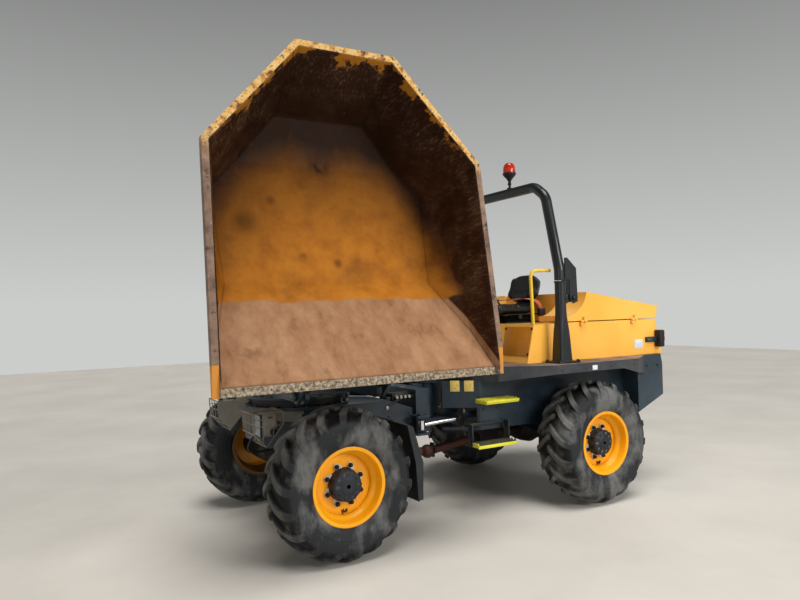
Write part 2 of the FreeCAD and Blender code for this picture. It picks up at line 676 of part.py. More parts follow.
def rops_legs():
    """Fixed lower legs of the hoop, each on a foot plate bolted to the deck."""
    y = HOOP_Y
    foot = box(HOOP_X - 130, HOOP_X + 110, y - 95, y + 95, DECK_TOP, DECK_TOP + 16)
    low = [Vector(HOOP_X - 75, y - 62, DECK_TOP + 16), Vector(HOOP_X + 62, y - 62, DECK_TOP + 16),
           Vector(HOOP_X + 62, y + 62, DECK_TOP + 16), Vector(HOOP_X - 75, y + 62, DECK_TOP + 16)]
    z = HOOP_JOINT_Z
    top = [Vector(HOOP_X - 50, y - 48, z), Vector(HOOP_X + 48, y - 48, z),
           Vector(HOOP_X + 48, y + 48, z), Vector(HOOP_X - 50, y + 48, z)]
    leg = fused([foot, ruled_solid(low, top)])
    ear = along_y(HOOP_FOLD_X, HOOP_FOLD_Z, y - 34, y + 34, 36.0)
    web = box(HOOP_FOLD_X, HOOP_X - 30, y - 34, y + 34, HOOP_FOLD_Z - 36, HOOP_FOLD_Z + 36)
    pin = along_y(HOOP_FOLD_X, HOOP_FOLD_Z, y - 56, y + 56, HOOP_PIN_R)
    return group(both_sides(fused([leg, ear, web, pin])))


def rops_hoop():
    """Upper hoop, leaning in to its top bar, with the fold plates at its feet."""
    y = HOOP_Y
    z = HOOP_JOINT_Z + RUN_GAP
    outline = [Vector(HOOP_X, y, z), Vector(HOOP_X, y, 2040), Vector(HOOP_X, 735, 2700),
               Vector(HOOP_X, 600, HOOP_TOP_Z)]
    other = [Vector(p.x, -p.y, p.z) for p in reversed(outline)]
    bar = pipe(outline + other, HOOP_R, 150.0)
    plate = [(HOOP_X - 20, z + 8), (HOOP_X - 20, 2140), (250, 2140), (150, 2050), (140, 1760),
             (HOOP_FOLD_X + 10, 1742), (232, 1790), (232, z + 8)]
    bore = along_y(HOOP_FOLD_X, HOOP_FOLD_Z, y - 60, y + 60, HOOP_PIN_R + PIN_GAP)
    plates = [side_plate(plate, y + dy, y + dy + 10).cut(bore) for dy in (-34 - RUN_GAP - 10, 34 + RUN_GAP)]
    return fused([bar] + plates + [mirrored(p) for p in plates])


def beacon():
    y = 250.0
    z = HOOP_TOP_Z + HOOP_R - 4
    lens_z = z + 150
    base = fused([upright(HOOP_X, y, z, z + 110, 18.0), upright(HOOP_X, y, z + 136, lens_z, 64.0),
                  Part.makeCone(32.0, 64.0, 36.0, Vector(HOOP_X, y, z + 100))])
    base = base.cut(along_y(HOOP_X, HOOP_TOP_Z, y - 80, y + 80, HOOP_R + SEAT_GAP))
    lens = fused([upright(HOOP_X, y, lens_z, lens_z + 62, 59.0),
                  Part.makeCone(59.0, 36.0, 38.0, Vector(HOOP_X, y, lens_z + 62))])
    return base, lens


# Front chassis

def front_frame():
    """Main box, neck and post, with the tongue that turns between the rear pivot lugs."""
    back, nose, wall = MAIN_BACK, FRONT_NOSE, FRONT_HALF - 20
    main = side_plate([(back + 50, FRONT_LOW), (back + 20, 710), (back, FRONT_TOP), (nose - 120, FRONT_TOP),
                       (nose, 900), (nose, 720), (nose - 90, FRONT_LOW)], -FRONT_HALF, FRONT_HALF)
    corner = flat_plate([(nose - 220, FRONT_HALF), (nose + 1, FRONT_NOSE_HALF), (nose + 1, FRONT_HALF + 1),
                         (nose - 220, FRONT_HALF + 1)], FRONT_LOW - 1, FRONT_TOP + 1)
    main = main.cut(group(both_sides(corner)))
    neck = side_plate([(POST_BACK + 20, NECK_LOW), (back + 30, NECK_LOW), (back + 30, FRONT_TOP),
                       (back - 58, FRONT_TOP), (POST_FRONT, 880), (POST_BACK + 20, 880)],
                      -POST_HALF + 40, POST_HALF - 40)
    post = box(POST_BACK, POST_FRONT, -POST_HALF, POST_HALF, NECK_LOW, 1040)
    hollows = [box(back + 120, FRONT_X - 127, -wall, wall, FRONT_LOW - 1, FRONT_TOP - 20),
               box(FRONT_X - 107, FRONT_X + 90, -wall, wall, FRONT_LOW + 30, FRONT_TOP - 20),
               box(POST_FRONT, back + 10, -POST_HALF + 60, POST_HALF - 60, NECK_LOW - 1, 860),
               box(POST_BACK + 16, POST_FRONT - 16, -POST_HALF + 16, POST_HALF - 16, NECK_LOW - 1, 1024)]
    low = LOW_LUG_Z + LUG_T + RUN_GAP
    high = TOP_LUG_Z - RUN_GAP
    web = box(PIVOT_X, POST_BACK + 1, -38, 38, low, high)
    tongue = upright(PIVOT_X, 0, low, high, 72.0)
    pin_way = upright(PIVOT_X, 0, low - 1, high + 1, PIVOT_PIN_R + PIN_GAP)
    base = upright(SLEW_X, 0, FRONT_TOP, FRONT_TOP + BASE_T, BASE_R)
    eye = STEER_EYE
    ears = [box(eye.x - 60, eye.x + 60, POST_HALF - 1, eye.y + 45,
                eye.z + side * 74 - 8, eye.z + side * 74 + 8) for side in (1, -1)]
    pads = [box(FRONT_X - 110, FRONT_X + 110, side * 270 - 60, side * 270 + 60,
                AXLE_Z + BEAM_R - 10, FRONT_LOW + 1) for side in (1, -1)]
    beam = along_y(FRONT_X, AXLE_Z, -RAIL_HALF, RAIL_HALF, BEAM_R + SEAT_GAP)
    lump = group(pads).cut(beam)
    solid = fused([main, neck, post, web, tongue, base] + ears + list(lump.Solids))
    return solid.cut(pin_way).cut(group(hollows))


def slew_ring():
    ring = upright(SLEW_X, 0, FRONT_TOP + BASE_T, RING_TOP, RING_R)
    return ring.cut(upright(SLEW_X, 0, FRONT_TOP, RING_TOP + 1, RING_BORE))


def front_mudguards():
    """Folded plate behind each front tyre, with an outer flange."""
    t = 6.0
    x = FRONT_X
    line = [(x - 380, 930), (x - 502, 886), (x - 570, 620), (x - 582, 331)]
    back = [(x - 586, 331), (x - 576, 622), (x - 507, 890), (x - 382, 936)]
    plate = side_plate(line + back, 712, 1015)
    flange = side_plate([(x - 380, 936), (x - 502, 890), (x - 565, 612), (x - 582, 331),
                         (x - 622, 331), (x - 631, 600), (x - 552, 868), (x - 380, 956)], 1015 - t, 1015)
    stay = along_y(x - 532, 790, FRONT_HALF, 740, 20.0)
    return group(both_sides(fused([plate, flange, stay])))


def head_lamps():
    nose = FRONT_X + 303
    case = box(nose, nose + 140, 380, 540, 830, 1000)
    arm = box(nose + 30, nose + 70, GUARD_OUT + SEAT_GAP, 390, 860, 900)
    return group(both_sides(fused([case, arm])))


def square_bar(start, end, half):
    """Square bar from point to point, a little longer at both ends than their distance."""
    run = (end - start).normalize()
    turn = FreeCAD.Rotation(Vector(1, 0, 0), run)
    bar = box(-half, start.distanceToPoint(end) + half, -half, half, -half, half)
    bar.Placement = FreeCAD.Placement(start, turn)
    return bar


def lamp_guards():
    """Plate on the frame's side and a cage of square wires round each head lamp, narrower below."""
    x = FRONT_X
    near, far = FRONT_HALF + SEAT_GAP + 3.0, 575.0
    side_face = [(x + 23, 975), (x + 215, 979), (x + 278, 1015), (x + 511, 1015), (x + 501, 872), (x + 405, 770),
                 (x + 278, 905), (x + 23, 880)]
    # columns: X, Z round the cage's side
    outline = [(x + 278, 1015), (x + 511, 1015), (x + 501, 872), (x + 405, 770), (x + 278, 925)]
    pieces = [side_plate(side_face, FRONT_HALF + SEAT_GAP, GUARD_OUT)]
    for (x0, z0), (x1, z1) in zip(outline, outline[1:] + outline[:1]):
        pieces.append(square_bar(Vector(x0, far, z0), Vector(x1, far, z1), 3.5))
        pieces.append(square_bar(Vector(x0, near, z0), Vector(x0, far, z0), 3.5))
    # columns: from X, Z to X, Z of the thin wires across the cage's outer side
    wires = [((x + 278, 970), (x + 508, 970)), ((x + 293, 920), (x + 504, 920)),
             ((x + 353, 1015), (x + 353, 835)), ((x + 433, 1015), (x + 433, 800))]
    for (x0, z0), (x1, z1) in wires:
        pieces.append(square_bar(Vector(x0, far, z0), Vector(x1, far, z1), 2.5))
    for share in (1 / 3, 2 / 3):
        y = near + (far - near) * share
        pieces.append(square_bar(Vector(x + 511, y, 1015), Vector(x + 501, y, 872), 2.5))
        pieces.append(square_bar(Vector(x + 501, y, 872), Vector(x + 405, y, 770), 2.5))
    for dx, z in ((506, 942), (453, 821)):
        pieces.append(square_bar(Vector(x + dx, near, z), Vector(x + dx, far, z), 2.5))
    return group(both_sides(fused(pieces)))


def slew_motor():
    x = SLEW_X - 470
    case = upright(x, -150, FRONT_TOP, FRONT_TOP + 40, 60.0)
    head = upright(x, -150, FRONT_TOP + 40, RING_TOP - 2 * RUN_GAP, 45.0)
    return fused([case, head])


def front_shaft():
    """Shaft from the joint under the pivot to the front axle's nose."""
    joint = Vector(PIVOT_X, 0, SHAFT_JOINT_Z)
    nose = Vector(FRONT_X - AXLE_NOSE - SEAT_GAP, 0, AXLE_Z)
    run = (nose - joint).normalize()
    nose.x -= SHAFT_R * abs(run.z)
    return rod(joint + run * (SHAFT_JOINT_R + RUN_GAP), nose, SHAFT_R)


# Turntable, skip and rams, laid out slewed forward

def turntable():
    """Round table with two arms out to the tipping pivot and the ram's foot between them."""
    table = upright(0, 0, RING_TOP + SEAT_GAP, RING_TOP + SEAT_GAP + TABLE_T, TABLE_R)
    table = table.cut(upright(0, 0, RING_TOP, RING_TOP + TABLE_T + 1, 120.0))
    top = RING_TOP + SEAT_GAP + TABLE_T
    outline = [(-620, top), (360, top), (460, ARM_LOW), (TIP_U + 10, ARM_LOW),
               (TIP_U + 62, TIP_Z - 20), (TIP_U + 62, TIP_Z + 20), (TIP_U + 20, ARM_TOP - 30),
               (200, ARM_TOP), (-420, ARM_TOP), (-620, ARM_TOP - 60)]
    arm = side_plate(outline, ARM_Y - ARM_T, ARM_Y)
    boss = along_y(TIP_U, TIP_Z, ARM_Y - ARM_T - 12, ARM_Y, 58.0)
    pin = along_y(TIP_U, TIP_Z, ARM_Y, ARM_Y + 62, 28.0)
    foot = side_plate([(-600, top), (-470, top), (RAM_BASE_U + 45, RAM_BASE_Z + 20),
                       (RAM_BASE_U + 20, RAM_BASE_Z + 45), (RAM_BASE_U - 20, RAM_BASE_Z + 45),
                       (-600, RAM_BASE_Z)], 52, 72)
    heel = box(-620, -260, -ARM_Y, ARM_Y, top - TABLE_T, top)
    cross = box(430, 455, -ARM_Y + ARM_T, ARM_Y - ARM_T, ARM_LOW, ARM_LOW + 12)
    ram_pin = along_y(RAM_BASE_U, RAM_BASE_Z, -72, 72, 24.0)
    halves = [arm, boss, pin, foot]
    return fused([table, heel, cross, ram_pin] + halves + [mirrored(h) for h in halves])


def half_space(point, outward, shift):
    """Big block on the inner side of a plane, moved outwards by shift."""
    size = 8000.0
    n = Vector(outward)
    n.normalize()
    spot = point + n * shift
    block = Part.makeBox(size, size, size, Vector(-size / 2, -size / 2, -size))
    turn = FreeCAD.Rotation(Vector(0, 0, 1), n)
    block.Placement = FreeCAD.Placement(spot, turn)
    return block


def inset_corner(before, corner, after, inset):
    """Corner of an outline in the rim's plane, moved in from both its edges."""
    inward = []
    for start, end in ((before, corner), (corner, after)):
        run = (end - start).normalize()
        inward.append(Vector(run.y, -run.x, 0))
    return corner + (inward[0] + inward[1]) * (inset / (1 + inward[0].dot(inward[1])))


def rim_outline():
    """Rim's outer corners from the lip to the back, on the side of positive Y."""
    return [Vector(-LIP_BAR, RIM_HALF, 0), Vector(SHOULDER_S, SHOULDER_HALF, 0), Vector(BACK_S, BACK_HALF, 0)]


def skip_planes():
    """Planes of the bowl's inside: floor, heel, rise, back, and on each side a wall, a bevel, a corner."""
    middle = Vector(HEEL_S * 0.8, 0, -HEEL_E * 0.4)
    lip = Vector(0, 0, -LIP_SET)
    fold = Vector(FOLD_S, 0, -FOLD_E)
    heel = Vector(HEEL_S, 0, -HEEL_E)
    rise = Vector(RISE_S, 0, -RISE_E)
    rim_back = Vector(BACK_S - RIM_OUT, 0, 0)
    across = Vector(0, 1, 0)
    planes = [(start, (end - start).cross(across))
              for start, end in ((lip, fold), (fold, heel), (heel, rise), (rise, rim_back))]
    end, bend, back = rim_outline()
    shoulder = inset_corner(end, bend, back, RIM_OUT)
    corner = inset_corner(bend, back, Vector(BACK_S, -BACK_HALF, 0), RIM_OUT)
    low = Vector(FOLD_S, 805, -FOLD_E)
    share = 0.416
    foot = Vector(FOLD_S * share, 954, -LIP_SET - (FOLD_E - LIP_SET) * share)
    rear_foot = Vector(1344, 892, -510)
    rise_side = Vector(RISE_S, RISE_HALF, -RISE_E)
    half = [(shoulder, Vector(0.0132, 1, -0.18)),
            (low, (rear_foot - foot).cross(low - foot)),
            (shoulder, (corner - shoulder).cross(rise_side - shoulder))]
    for point, n in half:
        planes += [(point, n), (Vector(point.x, -point.y, point.z), Vector(n.x, -n.y, n.z))]
    return [(point, n if n.dot(point - middle) > 0 else n * -1) for point, n in planes]


def skip_hull(shift):
    hull = box(0, BACK_S + 400, -1400, 1400, -900, 0)
    for point, outward in skip_planes():
        hull = hull.common(half_space(point, outward, shift))
    return hull


def skip_bowl():
    return skip_hull(SKIP_WALL).cut(skip_hull(0))


def skip_rim():
    """Flanged edge of box section round the bowl, and the wear bar set back along the lip."""
    half = rim_outline()
    outline = [(p.x, p.y) for p in half] + [(p.x, -p.y) for p in reversed(half)]
    inner_half = RIM_HALF - RIM_OUT
    ring = flat_plate(outline, -RIM_DEEP, 0)
    mouth = box(-LIP_BAR - 1, 1, -inner_half, inner_half, -RIM_DEEP - 1, 1)
    bar = box(-LIP_BAR, 30, -inner_half - 30, inner_half + 30, -LIP_SET - 25, -LIP_SET)
    chamfer = side_plate([(140, 1), (140, 0), (-LIP_BAR - 1, -30), (-LIP_BAR - 1, 1)],
                         inner_half + SKIP_WALL, RIM_HALF + 1)
    rim = fused([ring.cut(mouth), bar])
    return rim.cut(group(both_sides(chamfer))).cut(skip_hull(SKIP_WALL))


def skip_brackets():
    """Hinge plates under the chute and the lugs for the ram's eye."""
    tip_s, tip_e = skip_place(TIP_U, TIP_Z)
    y = ARM_Y + 22
    slope = (FOLD_E - LIP_SET) / FOLD_S
    wall = SKIP_WALL / math.cos(math.atan(slope)) + LIP_SET
    outline = [(s, -(s * slope + wall)) for s in (FOLD_S * 0.2, FOLD_S * 0.86)]
    hinge = side_plate(outline + [(tip_s + 60, -tip_e - 40), (tip_s, -tip_e - 55),
                                  (tip_s - 45, -tip_e - 30), (tip_s - 52, -tip_e + 20)], y, y + 22)
    eye = along_y(tip_s, -tip_e, y, y + 22, 56.0)
    bore = along_y(tip_s, -tip_e, y - 1, y + 23, 28.0 + PIN_GAP)
    s0, s1 = FOLD_S * 0.2, FOLD_S * 0.62
    lug = side_plate([(s0, -(s0 * slope + wall)), (s1, -(s1 * slope + wall)),
                      (RAM_EYE_S + 48, -RAM_EYE_E), (RAM_EYE_S, -RAM_EYE_E - 48),
                      (RAM_EYE_S - 48, -RAM_EYE_E)], 44, 62)
    pieces = both_sides(fused([hinge, eye]).cut(bore)) + both_sides(lug)
    return group(pieces)


def skip_axes():
    """Directions of the skip as it stands: back along the rim, and out of the bowl."""
    a = math.radians(TIP_REST)
    return Vector(-math.cos(a), 0, math.sin(a)), Vector(math.sin(a), 0, math.cos(a))


def skip_place(u, z):
    """Where a point ahead of the slew axis lies on the skip: back from the lip, and below the rim."""
    back, out = skip_axes()
    reach = Vector(u - LIP_U, 0, z - LIP_Z)
    return reach.dot(back), -reach.dot(out)


def on_skip(s, e):
    back, out = skip_axes()
    return Vector(LIP_U, 0, LIP_Z) + back * s - out * e


def tipped(shape):
    """Skip's own frame, set at its tipped place ahead of the slew axis."""
    back, out = skip_axes()
    side = out.cross(back)
    turn = FreeCAD.Rotation(back, side, out, "XZY")
    piece = shape.copy()
    piece.Placement = FreeCAD.Placement(Vector(LIP_U, 0, LIP_Z), turn)
    return piece


def slewed(shape):
    """From slewed forward to the slew axis and its resting turn."""
    piece = shape.copy()
    piece.rotate(Vector(0, 0, 0), Vector(0, 0, 1), SLEW_REST)
    piece.translate(Vector(SLEW_X, 0, 0))
    return piece


def ram(foot, eye, barrel_r, rod_r, barrel_len, closing, eye_half, pin_r, eye_r, across):
    """Barrel with its foot eye and gland, and rod with its eye; the rod can still slide in by closing."""
    run = (eye - foot)
    run.normalize()
    a = foot + run * (eye_r * 0.8)
    b = foot + run * barrel_len
    foot_eye = rod(foot - across * eye_half, foot + across * eye_half, eye_r)
    foot_bore = rod(foot - across * (eye_half + 1), foot + across * (eye_half + 1), pin_r + PIN_GAP)
    gland = rod(b - run * 50, b, barrel_r + 7)
    bore = rod(foot + run * (eye_r + 40), b + run, rod_r + PIN_GAP)
    barrel = fused([rod(a, b, barrel_r), foot_eye, gland]).cut(foot_bore).cut(bore)
    tail = foot + run * (eye_r + 50 + closing)
    head = rod(eye - across * (eye_half - 4), eye + across * (eye_half - 4), eye_r)
    head_bore = rod(eye - across * eye_half, eye + across * eye_half, pin_r + PIN_GAP)
    bar = fused([rod(tail, eye - run * eye_r * 0.5, rod_r), head]).cut(head_bore)
    return barrel, bar


def tip_ram():
    foot = Vector(RAM_BASE_U, 0, RAM_BASE_Z)
    eye = on_skip(RAM_EYE_S, RAM_EYE_E)
    return ram(foot, eye, RAM_R, RAM_ROD_R, RAM_BARREL, RAM_CLOSING, 40.0, 24.0, 44.0, Vector(0, 1, 0))


def steer_ram():
    return ram(STEER_BASE, STEER_EYE, STEER_RAM_R, STEER_ROD_R, STEER_BARREL, STEER_CLOSING, 42.0,
               STEER_PIN_R, 36.0, Vector(0, 0, 1))


def build():
    nodes = wheels()
    nodes["rear_axle"] = axle(0.0, 1)
    nodes["front_axle"] = axle(FRONT_X, -1)
    nodes["frame_rails"] = frame_rails()
    nodes["axle_saddle"] = axle_saddle()
    nodes["frame_nose"] = frame_nose()
    nodes["steer_bracket"] = steer_bracket()
    nodes["deck"] = deck()
    nodes["counterweight"] = counterweight()
    nodes["tow_jaw"] = tow_jaw()
    nodes["engine_block"] = engine_block()
    nodes["transmission"] = transmission()
    nodes["prop_shafts"] = prop_shafts()
    nodes["lower_bonnet"] = lower_bonnet()
    nodes["bonnet_lid"] = bonnet_lid()
    nodes["seat_box"] = seat_box()
    nodes["seat_base"], nodes["seat_cushion"], nodes["seat_back"] = seat_parts()
    nodes["console"] = console()
    nodes["steering_wheel"] = steering_wheel()
    nodes["control_levers"] = control_levers()
    nodes["grab_rails"] = grab_rails()
    nodes["steps"] = steps()
    nodes["tail_lamps"] = tail_lamps()
    nodes["rops_legs"] = rops_legs()
    nodes["rops_hoop"] = rops_hoop()
    nodes["beacon_base"], nodes["beacon_lens"] = beacon()
    nodes["front_frame"] = front_frame()
    nodes["slew_ring"] = slew_ring()
    nodes["front_mudguards"] = front_mudguards()
    nodes["head_lamps"] = head_lamps()
    nodes["lamp_guards"] = lamp_guards()
    nodes["slew_motor"] = slew_motor()
    nodes["front_shaft"] = front_shaft()
    nodes["turntable"] = slewed(turntable())
    nodes["skip_bowl"] = slewed(tipped(skip_bowl()))
    nodes["skip_rim"] = slewed(tipped(skip_rim()))
    nodes["skip_brackets"] = slewed(tipped(skip_brackets()))
    barrel, bar = tip_ram()
    nodes["tip_barrel"] = slewed(barrel)
    nodes["tip_rod"] = slewed(bar)
    nodes["steer_barrel"], nodes["steer_rod"] = steer_ram()
    return nodes


def main():
    nodes = build()
    whole = FreeCAD.BoundBox()
    for shape in nodes.values():
        whole.add(shape.BoundBox)
    shift = Vector(-whole.Center.x, -whole.Center.y, 0)
    os.makedirs("parts", exist_ok=True)
    for name, shape in nodes.items():
        shape.translate(shift)
        shape.exportStep("parts/" + name + ".step")
    print("origin moved by", tuple(round(v, 3) for v in shift))
    print("size", round(whole.XLength), round(whole.YLength), round(whole.ZLength))


if __name__ == "__main__":
    main()
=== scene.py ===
"""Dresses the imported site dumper: tyres, rims, worn skip, seat, lamps, hoses, bolts and paint."""
import math

import bmesh
import bpy
import numpy as np
from bpy.props import FloatProperty, FloatVectorProperty, IntProperty, PointerProperty
from mathutils import Matrix, Vector


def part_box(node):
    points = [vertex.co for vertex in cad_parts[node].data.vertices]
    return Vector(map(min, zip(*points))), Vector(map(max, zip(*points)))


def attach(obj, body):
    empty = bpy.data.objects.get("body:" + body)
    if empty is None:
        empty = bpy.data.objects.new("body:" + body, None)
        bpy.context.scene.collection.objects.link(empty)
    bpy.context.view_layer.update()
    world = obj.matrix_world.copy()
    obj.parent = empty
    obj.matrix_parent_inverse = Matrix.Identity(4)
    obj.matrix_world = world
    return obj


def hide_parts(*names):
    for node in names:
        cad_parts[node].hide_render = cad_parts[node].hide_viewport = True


bl_info = {"name": "Site dumper", "version": (1, 0, 0), "blender": (4, 5, 0),
    "location": "3D View > Sidebar > Dumper",
    "description": "Makes the pieces and finishes of an articulated site dumper with a swivel skip",
    "category": "Object"}

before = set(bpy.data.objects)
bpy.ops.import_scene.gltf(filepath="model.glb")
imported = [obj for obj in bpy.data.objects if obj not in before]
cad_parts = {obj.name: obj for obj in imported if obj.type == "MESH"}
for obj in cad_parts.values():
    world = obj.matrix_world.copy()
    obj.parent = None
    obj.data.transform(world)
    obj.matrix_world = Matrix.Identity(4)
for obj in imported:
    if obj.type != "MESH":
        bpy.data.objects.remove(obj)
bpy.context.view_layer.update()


# Places, in the machine's own millimetres: X forward, Y left, Z up, from the ground under the rear axle

def rim_middle(name):
    low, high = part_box("rim_" + name)
    return np.array((low + high) / 2)


REAR = (rim_middle("rear_left") + rim_middle("rear_right")) / 2
ORIGIN = np.array([REAR[0], REAR[1], 0.0])
X, Y, Z = np.eye(3)


def mm(x, y, z):
    """Point of the machine in millimetres, as a point of the frame in metres."""
    return ORIGIN + np.array([x, y, z], float) / 1000


WHEELS = {"front_left": 1, "front_right": -1, "rear_left": 1, "rear_right": -1}
WELD, CREASE = 2e-5, math.radians(38)
TYRE_HALF = 0.2025
TYRE_R = 0.530
DECK_TOP = 1232.0
BOX_FOOT, BOX_LOW, BOX_SLOPE = 588.0, 1232.3, 0.259
BOX_TOP = 1568.0
HOOD_HALF = 760.0
HOOP_X = 300.0
LEG_Y = 880.0
FOLD_X, FOLD_Z = 183.0, 1790.0
SLEW_X = 2400.0
PIN_Y, PIN_Z = 850.0, 1150.0
RIM_FACE = 0.062
LEAN = math.radians(16.2)
PAD_VOXEL, PAD_PRESSURE, SWELL_FRAMES = 0.0055, 4.0, 20
TIP = math.radians(82.0)
LIP = mm(SLEW_X, 1397, 1303)
MOUTH = (1200, 0, -1500)
CHUTE_SLOPE, BACK_SLOPE, BACK_DEPTH = 0.7365, 0.0895, 0.457
BACK = np.array([0, -math.cos(TIP), math.sin(TIP)])
OUT = np.array([0, math.sin(TIP), math.cos(TIP)])
CAMERA_PLACE = (4470, 5252, 1724)
CAMERA_TURN = tuple(math.radians(v) for v in (-120.35, 0.86, -1.54))
FOCAL_PIXELS, PHOTO_WIDTH = 677.5, 800.0


def on_skip(s, w, e):
    """Point of the skip: s back from the lip, w across, e below the rim's plane, all in millimetres."""
    return LIP + (BACK * s + X * w - OUT * e) / 1000


# Surfaces: each function returns points and faces of a grid or of copies of one

def grid(points, wrap_u=False, wrap_v=False):
    """Joins neighbouring points of a (..., u, v, 3) array by quads, round u or v where asked."""
    nu, nv = points.shape[-3:-1]
    copies = int(np.prod(points.shape[:-3]))
    a, b = np.meshgrid(np.arange(nu if wrap_u else nu - 1), np.arange(nv if wrap_v else nv - 1),
        indexing="ij")
    c, d = (a + 1) % nu, (b + 1) % nv
    quads = np.stack([a * nv + b, c * nv + b, c * nv + d, a * nv + d], -1).reshape(-1, 4)
    faces = (quads + (np.arange(copies) * nu * nv)[:, None, None]).reshape(-1, 4)
    return points.reshape(-1, 3), faces


def joined(*parts):
    """Several surfaces as one: the faces of each count on from the points before it."""
    starts = np.cumsum([0] + [len(points) for points, faces in parts])
    return (np.concatenate([points for points, faces in parts]), np.concatenate([faces + start
        for (points, faces), start in zip(parts, starts)]))


def softened(points, times=2, closed=False):
    """Cuts every corner of a line a quarter from both ends of each run, again and again."""
    points = np.asarray(points, float)
    for _ in range(times):
        ahead = np.roll(points, -1, 0)
        cut = np.stack([points * 0.75 + ahead * 0.25, points * 0.25 + ahead * 0.75], 1).reshape(-1,
            points.shape[-1])
        points = cut if closed else np.concatenate([points[:1], cut[1:-3], points[-1:]])
    return points


def across(axis):
    """Two unit vectors square to an axis and to each other."""
    axis = np.asarray(axis, float) / np.linalg.norm(axis)
    side = np.cross(Z if abs(axis[2]) < 0.9 else X, axis)
    side /= np.linalg.norm(side)
    return axis, side, np.cross(axis, side)


def turned(profile, feet, axis, steps=40, first=0.0):
    """Turns (along, radius) pairs about an axis through each foot: foot + along axis + radius (cos, sin)."""
    axis, side, up = across(axis)
    profile = np.asarray(profile, float)
    feet = np.atleast_2d(feet)
    angle = first + np.linspace(0, 2 * np.pi, steps, endpoint=False)
    spoke = np.cos(angle)[:, None] * side + np.sin(angle)[:, None] * up
    shape = profile[:, None, :1] * axis + profile[:, None, 1:] * spoke
    return grid(feet[:, None, None, :] + shape, wrap_v=True)


def bolts(feet, axis, radius=0.011, height=0.009, first=0.0):
    """Hexagon heads on washers at many feet."""
    washer = turned([(0, 0), (0, radius * 1.35), (0.002, radius * 1.35), (0.002, 0)], feet, axis, 16)
    head = turned([(0.001, 0), (0.001, radius), (height * 0.8, radius), (height, radius * 0.82),
        (height, 0)], feet, axis, 6, first)
    return joined(washer, head)


def circle(centre, axis, radius, count, first=0.0):
    """Points evenly spaced on a circle about an axis."""
    axis, side, up = across(axis)
    angle = first + np.linspace(0, 2 * np.pi, count, endpoint=False)[:, None]
    return np.asarray(centre) + radius * (np.cos(angle) * side + np.sin(angle) * up)


def tube(path, radius, steps=12, wave=0.0, waves=0):
    """Carries a circle along a path, its radius swelling and shrinking by wave, its ends closed."""
    path = np.asarray(path, float)
    along = np.gradient(path, axis=0)
    along /= np.linalg.norm(along, axis=1, keepdims=True)
    spread = np.abs(along).mean(0)
    ref = np.eye(3)[np.argmin(spread)]
    side = np.cross(along, ref)
    side /= np.linalg.norm(side, axis=1, keepdims=True)
    up = np.cross(side, along)
    size = radius * (1 + wave * np.sin(np.linspace(0, 2 * np.pi * waves, len(path))))
    size = np.concatenate([[0], size, [0]])[:, None, None]
    path, side, up = (np.concatenate([v[:1], v, v[-1:]])[:, None, :] for v in (path, side, up))
    angle = np.linspace(0, 2 * np.pi, steps, endpoint=False)[None, :, None]
    return grid(path + size * (np.cos(angle) * side + np.sin(angle) * up), wrap_v=True)


def line(points, count):
    """Evenly spaced points along straight runs, by the share of the length gone."""
    points = np.asarray(points, float)
    gone = np.concatenate([[0], np.cumsum(np.linalg.norm(np.diff(points, axis=0), axis=1))])
    return np.stack([np.interp(np.linspace(0, gone[-1], count), gone, points[:, k]) for k in range(3)], 1)


def route(places, times=4):
    """Softened line through places in millimetres."""
    return softened([mm(*place) for place in places], times)


def soft_boxes(centres, sizes, radius, axes=None, m=3):
    """Boxes with round edges: a ball's eighths pushed apart to the corners, the flats between them."""
    centres = np.atleast_2d(centres)
    half = np.broadcast_to(np.asarray(sizes, float) / 2, centres.shape)
    quarter = np.linspace(0, np.pi / 2, m + 1)
    round_angle = np.concatenate([quarter + k * np.pi / 2 for k in range(4)])
    sign_x = np.repeat([1, -1, -1, 1], m + 1)
    sign_y = np.repeat([1, 1, -1, -1], m + 1)
    lift = np.concatenate([quarter - np.pi / 2, quarter])
    sign_z = np.repeat([-1, 1], m + 1)
    ball = (radius * np.stack(np.broadcast_arrays(np.cos(lift)[:, None] * np.cos(round_angle),
        np.cos(lift)[:, None] * np.sin(round_angle), np.sin(lift)[:, None]), -1))
    signs = np.stack(np.broadcast_arrays(sign_x[None, :], sign_y[None, :], sign_z[:, None]), -1)
    shape = ball + signs * (half[:, None, None, :] - radius)
    if axes is not None:
        shape = shape @ np.asarray(axes)
    points, faces = grid(centres[:, None, None, :] + shape, wrap_v=True)
    rows, columns = len(lift), len(round_angle)
    corner = np.arange(4) * (m + 1)
    base = (np.arange(len(centres)) * rows * columns)[:, None]
    caps = [base + corner[::-1], base + (rows - 1) * columns + corner]
    return points, np.concatenate([faces] + caps)


def plate(outline, thick, axis):
    """Flat plate: an outline and its copy moved along an axis, with walls and fans to the middle."""
    outline = np.asarray(outline, float)
    axis = np.asarray(axis, float) / np.linalg.norm(axis)
    middle = np.broadcast_to(outline.mean(0), outline.shape)
    rows = [middle, outline, outline + axis * thick, middle + axis * thick]
    return grid(np.stack(rows), wrap_v=True)


def drum(low, high, radius, chamfer=0.0):
    """Profile of a cylinder from low to high, with 4 mm off its radius over the chamfer's length."""
    top = [(high + chamfer, radius - 0.004), (high + chamfer, 0)] if chamfer else [(high, 0)]
    return [(low, 0), (low, radius), (high, radius)] + top


def spots(xs, ys, zs):
    """Places of the machine in millimetres, for all x, y and z given."""
    return [mm(x, y, z) for x in np.atleast_1d(xs) for y in np.atleast_1d(ys) for z in np.atleast_1d(zs)]


def blocks(*rows, sides=(1, -1)):
    """Soft boxes on both sides, from rows of x, y, z, size, edge's radius, edge's steps and finish."""
    return [(soft_boxes(spots(x, side * np.array(y), z), size, radius, m=m), key) for side in sides for x,
        y, z, size, radius, m, key in rows]


